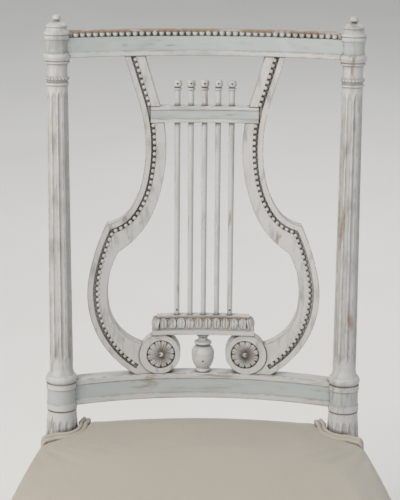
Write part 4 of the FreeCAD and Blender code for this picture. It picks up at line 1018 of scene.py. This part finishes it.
class CHAIR_OT_welt(bpy.types.Operator):
    """Two cords along the cover's edge and round the posts"""

    bl_idname = "chair.welt"
    bl_label = "Double welt"

    def execute(self, context):
        own = looks()
        radius = own.cord / 2 / MM
        cloth = woven_cloth("linen_cord", own.linen, own.thread, mapped=True)
        for label, inner in (("inner", True), ("outer", False)):
            right = self.half(radius, inner)
            left = [Vector((-p.x, p.y, p.z)) for p in reversed(right)]
            line = evenly(smooth_line([on_seat(*p) for p in right + left], 3), 0.0025)
            cord = settle(tube("welt_cord_" + label, line, own.cord / 2, cloth))
            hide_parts("double_welt")
        return {"FINISHED"}

    def half(self, r, inner):
        """The right half of one cord's line, from the middle of the front round to the middle of the rear."""
        back = 3 * r if inner else r
        level = SHOW_TOP + 0.5 + back
        out, clear, corner = r * 0.55, 0.6, BLOCK_CORNER
        plan = arc_through((0, FRONT_FACE_Y - FRONT_BOW - out), (92.5, FRONT_FACE_Y - FRONT_BOW * 0.745 - out),
                           (FRONT_IN, FRONT_FACE_Y - out), 30)
        plan += [(FRONT_IN + 14 + 13 * i, FRONT_FACE_Y - out - clear) for i in range(3)]
        reach = corner + out + clear
        for k in range(1, 8):
            t = math.radians(-90 + 90 * k / 8)
            plan.append((FRONT_OUT - corner + reach * math.cos(t), FRONT_FACE_Y + corner + reach * math.sin(t)))
        plan += [(FRONT_OUT + out + clear, FRONT_FACE_Y + corner + 8 + 13 * i) for i in range(3)]
        start, end = (FRONT_OUT + out, FRONT_BACK_Y), (REAR_OUT + out, REAR_FRONT_Y)
        square = Vector((end[1] - start[1], start[0] - end[0])).normalized()
        bulge = Vector(((start[0] + end[0]) / 2, (start[1] + end[1]) / 2)) + square * SIDE_BOW
        stop = REAR_FRONT_Y - 0.2 - back
        plan += [(x, y) for x, y in arc_through(start, bulge, end, 36) if y < stop - 8]
        line = [Vector((x, y, level)) for x, y in plan]
        x = REAR_OUT + out + clear
        line += [Vector((x, stop, z)) for z in (level + 9, *CORD_UP)]
        line += self.round_the_post(r, inner)
        across = HALF_SPACING - POST_SIDE - back
        behind = REAR_BACK_Y + clear + out
        line += [Vector((across, behind, z)) for z in (*CORD_DOWN, level + 9)]
        rear = arc_through((across - 8, REAR_BACK_Y + out + 1.6), (70, REAR_BACK_Y + out + REAR_BOW * 0.8),
                           (0, REAR_BACK_Y + out + REAR_BOW), 20)
        line += [Vector((x, y, level)) for x, y in rear]
        return line[1:-1]

    def round_the_post(self, r, inner):
        """Along the cover's cut-out in front of the post: one cord hugs the post and one lies on the pad."""
        pad = bpy.data.objects["seat_pad"]
        post = Vector((HALF_SPACING, POST_Y))
        least = POST_FRONT + (3 * r if inner else r)
        edge = [Vector(p) for p in arc_through(CUT_OUT_END, CUT_OUT_NECK, CUT_OUT_START, 16)]
        spots, heights = [], []
        for index, place in enumerate(edge):
            ahead = edge[min(index + 1, len(edge) - 1)] - edge[max(index - 1, 0)]
            inward = Vector((ahead.y, -ahead.x)).normalized()
            spot = place + inward * r * (0.4 if inner else 2.4)
            away = spot - post
            if away.length < least:
                spot = post + away.normalized() * least
            over = place - inward * 4.0
            hit, touched, _, _ = pad.ray_cast(on_seat(over.x, over.y, 560.0), Vector((0, 0, -1)))
            if not hit:
                raise RuntimeError("the welt found no pad beside the post")
            spots.append(spot)
            heights.append(touched.z / MM)
        for _ in range(6):
            near = [heights[max(0, i - 1):i + 2] for i in range(len(heights))]
            heights = [sum(few) / len(few) for few in near]
        lift = r * (0.35 if inner else 0.6)
        return [Vector((spot.x, spot.y, height + lift)) for spot, height in zip(spots, heights)]


class CHAIR_OT_dust_cloth(bpy.types.Operator):
    """Black cotton stretched under the seat's frame"""

    bl_idname = "chair.dust_cloth"
    bl_label = "Dust cloth"

    def execute(self, context):
        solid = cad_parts["dust_cover"].data
        vertices, faces = [v.co for v in solid.vertices], [tuple(f.vertices) for f in solid.polygons]
        cotton = woven_cloth("black_cotton", srgb(44, 43, 42), 0.0007)
        cloth = settle(add_piece("dust_cloth", vertices, faces, cotton, smooth=False))
        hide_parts("dust_cover")
        return {"FINISHED"}


class CHAIR_PT_panel(bpy.types.Panel):
    """Lists the chair's looks and its pieces"""

    bl_label = "Lyre back chair"
    bl_idname = "CHAIR_PT_panel"
    bl_space_type = "VIEW_3D"
    bl_region_type = "UI"
    bl_category = "Chair"

    def draw(self, context):
        own = looks()
        for name in ChairLooks.__annotations__:
            self.layout.prop(own, name)
        for operator in PIECES:
            self.layout.operator(operator.bl_idname)


PIECES = (CHAIR_OT_stage, CHAIR_OT_painted_frame, CHAIR_OT_beadwork, CHAIR_OT_carving, CHAIR_OT_seat_pad,
          CHAIR_OT_welt, CHAIR_OT_dust_cloth)
CLASSES = (ChairLooks, *PIECES, CHAIR_PT_panel)


def register():
    for item in CLASSES:
        bpy.utils.register_class(item)
    bpy.types.Scene.lyre_chair = PointerProperty(type=ChairLooks)


def unregister():
    del bpy.types.Scene.lyre_chair
    for item in reversed(CLASSES):
        bpy.utils.unregister_class(item)


def main():
    register()
    for operator in PIECES:
        group, name = operator.bl_idname.split(".")
        getattr(getattr(bpy.ops, group), name)()


if __name__ == "__main__":
    main()
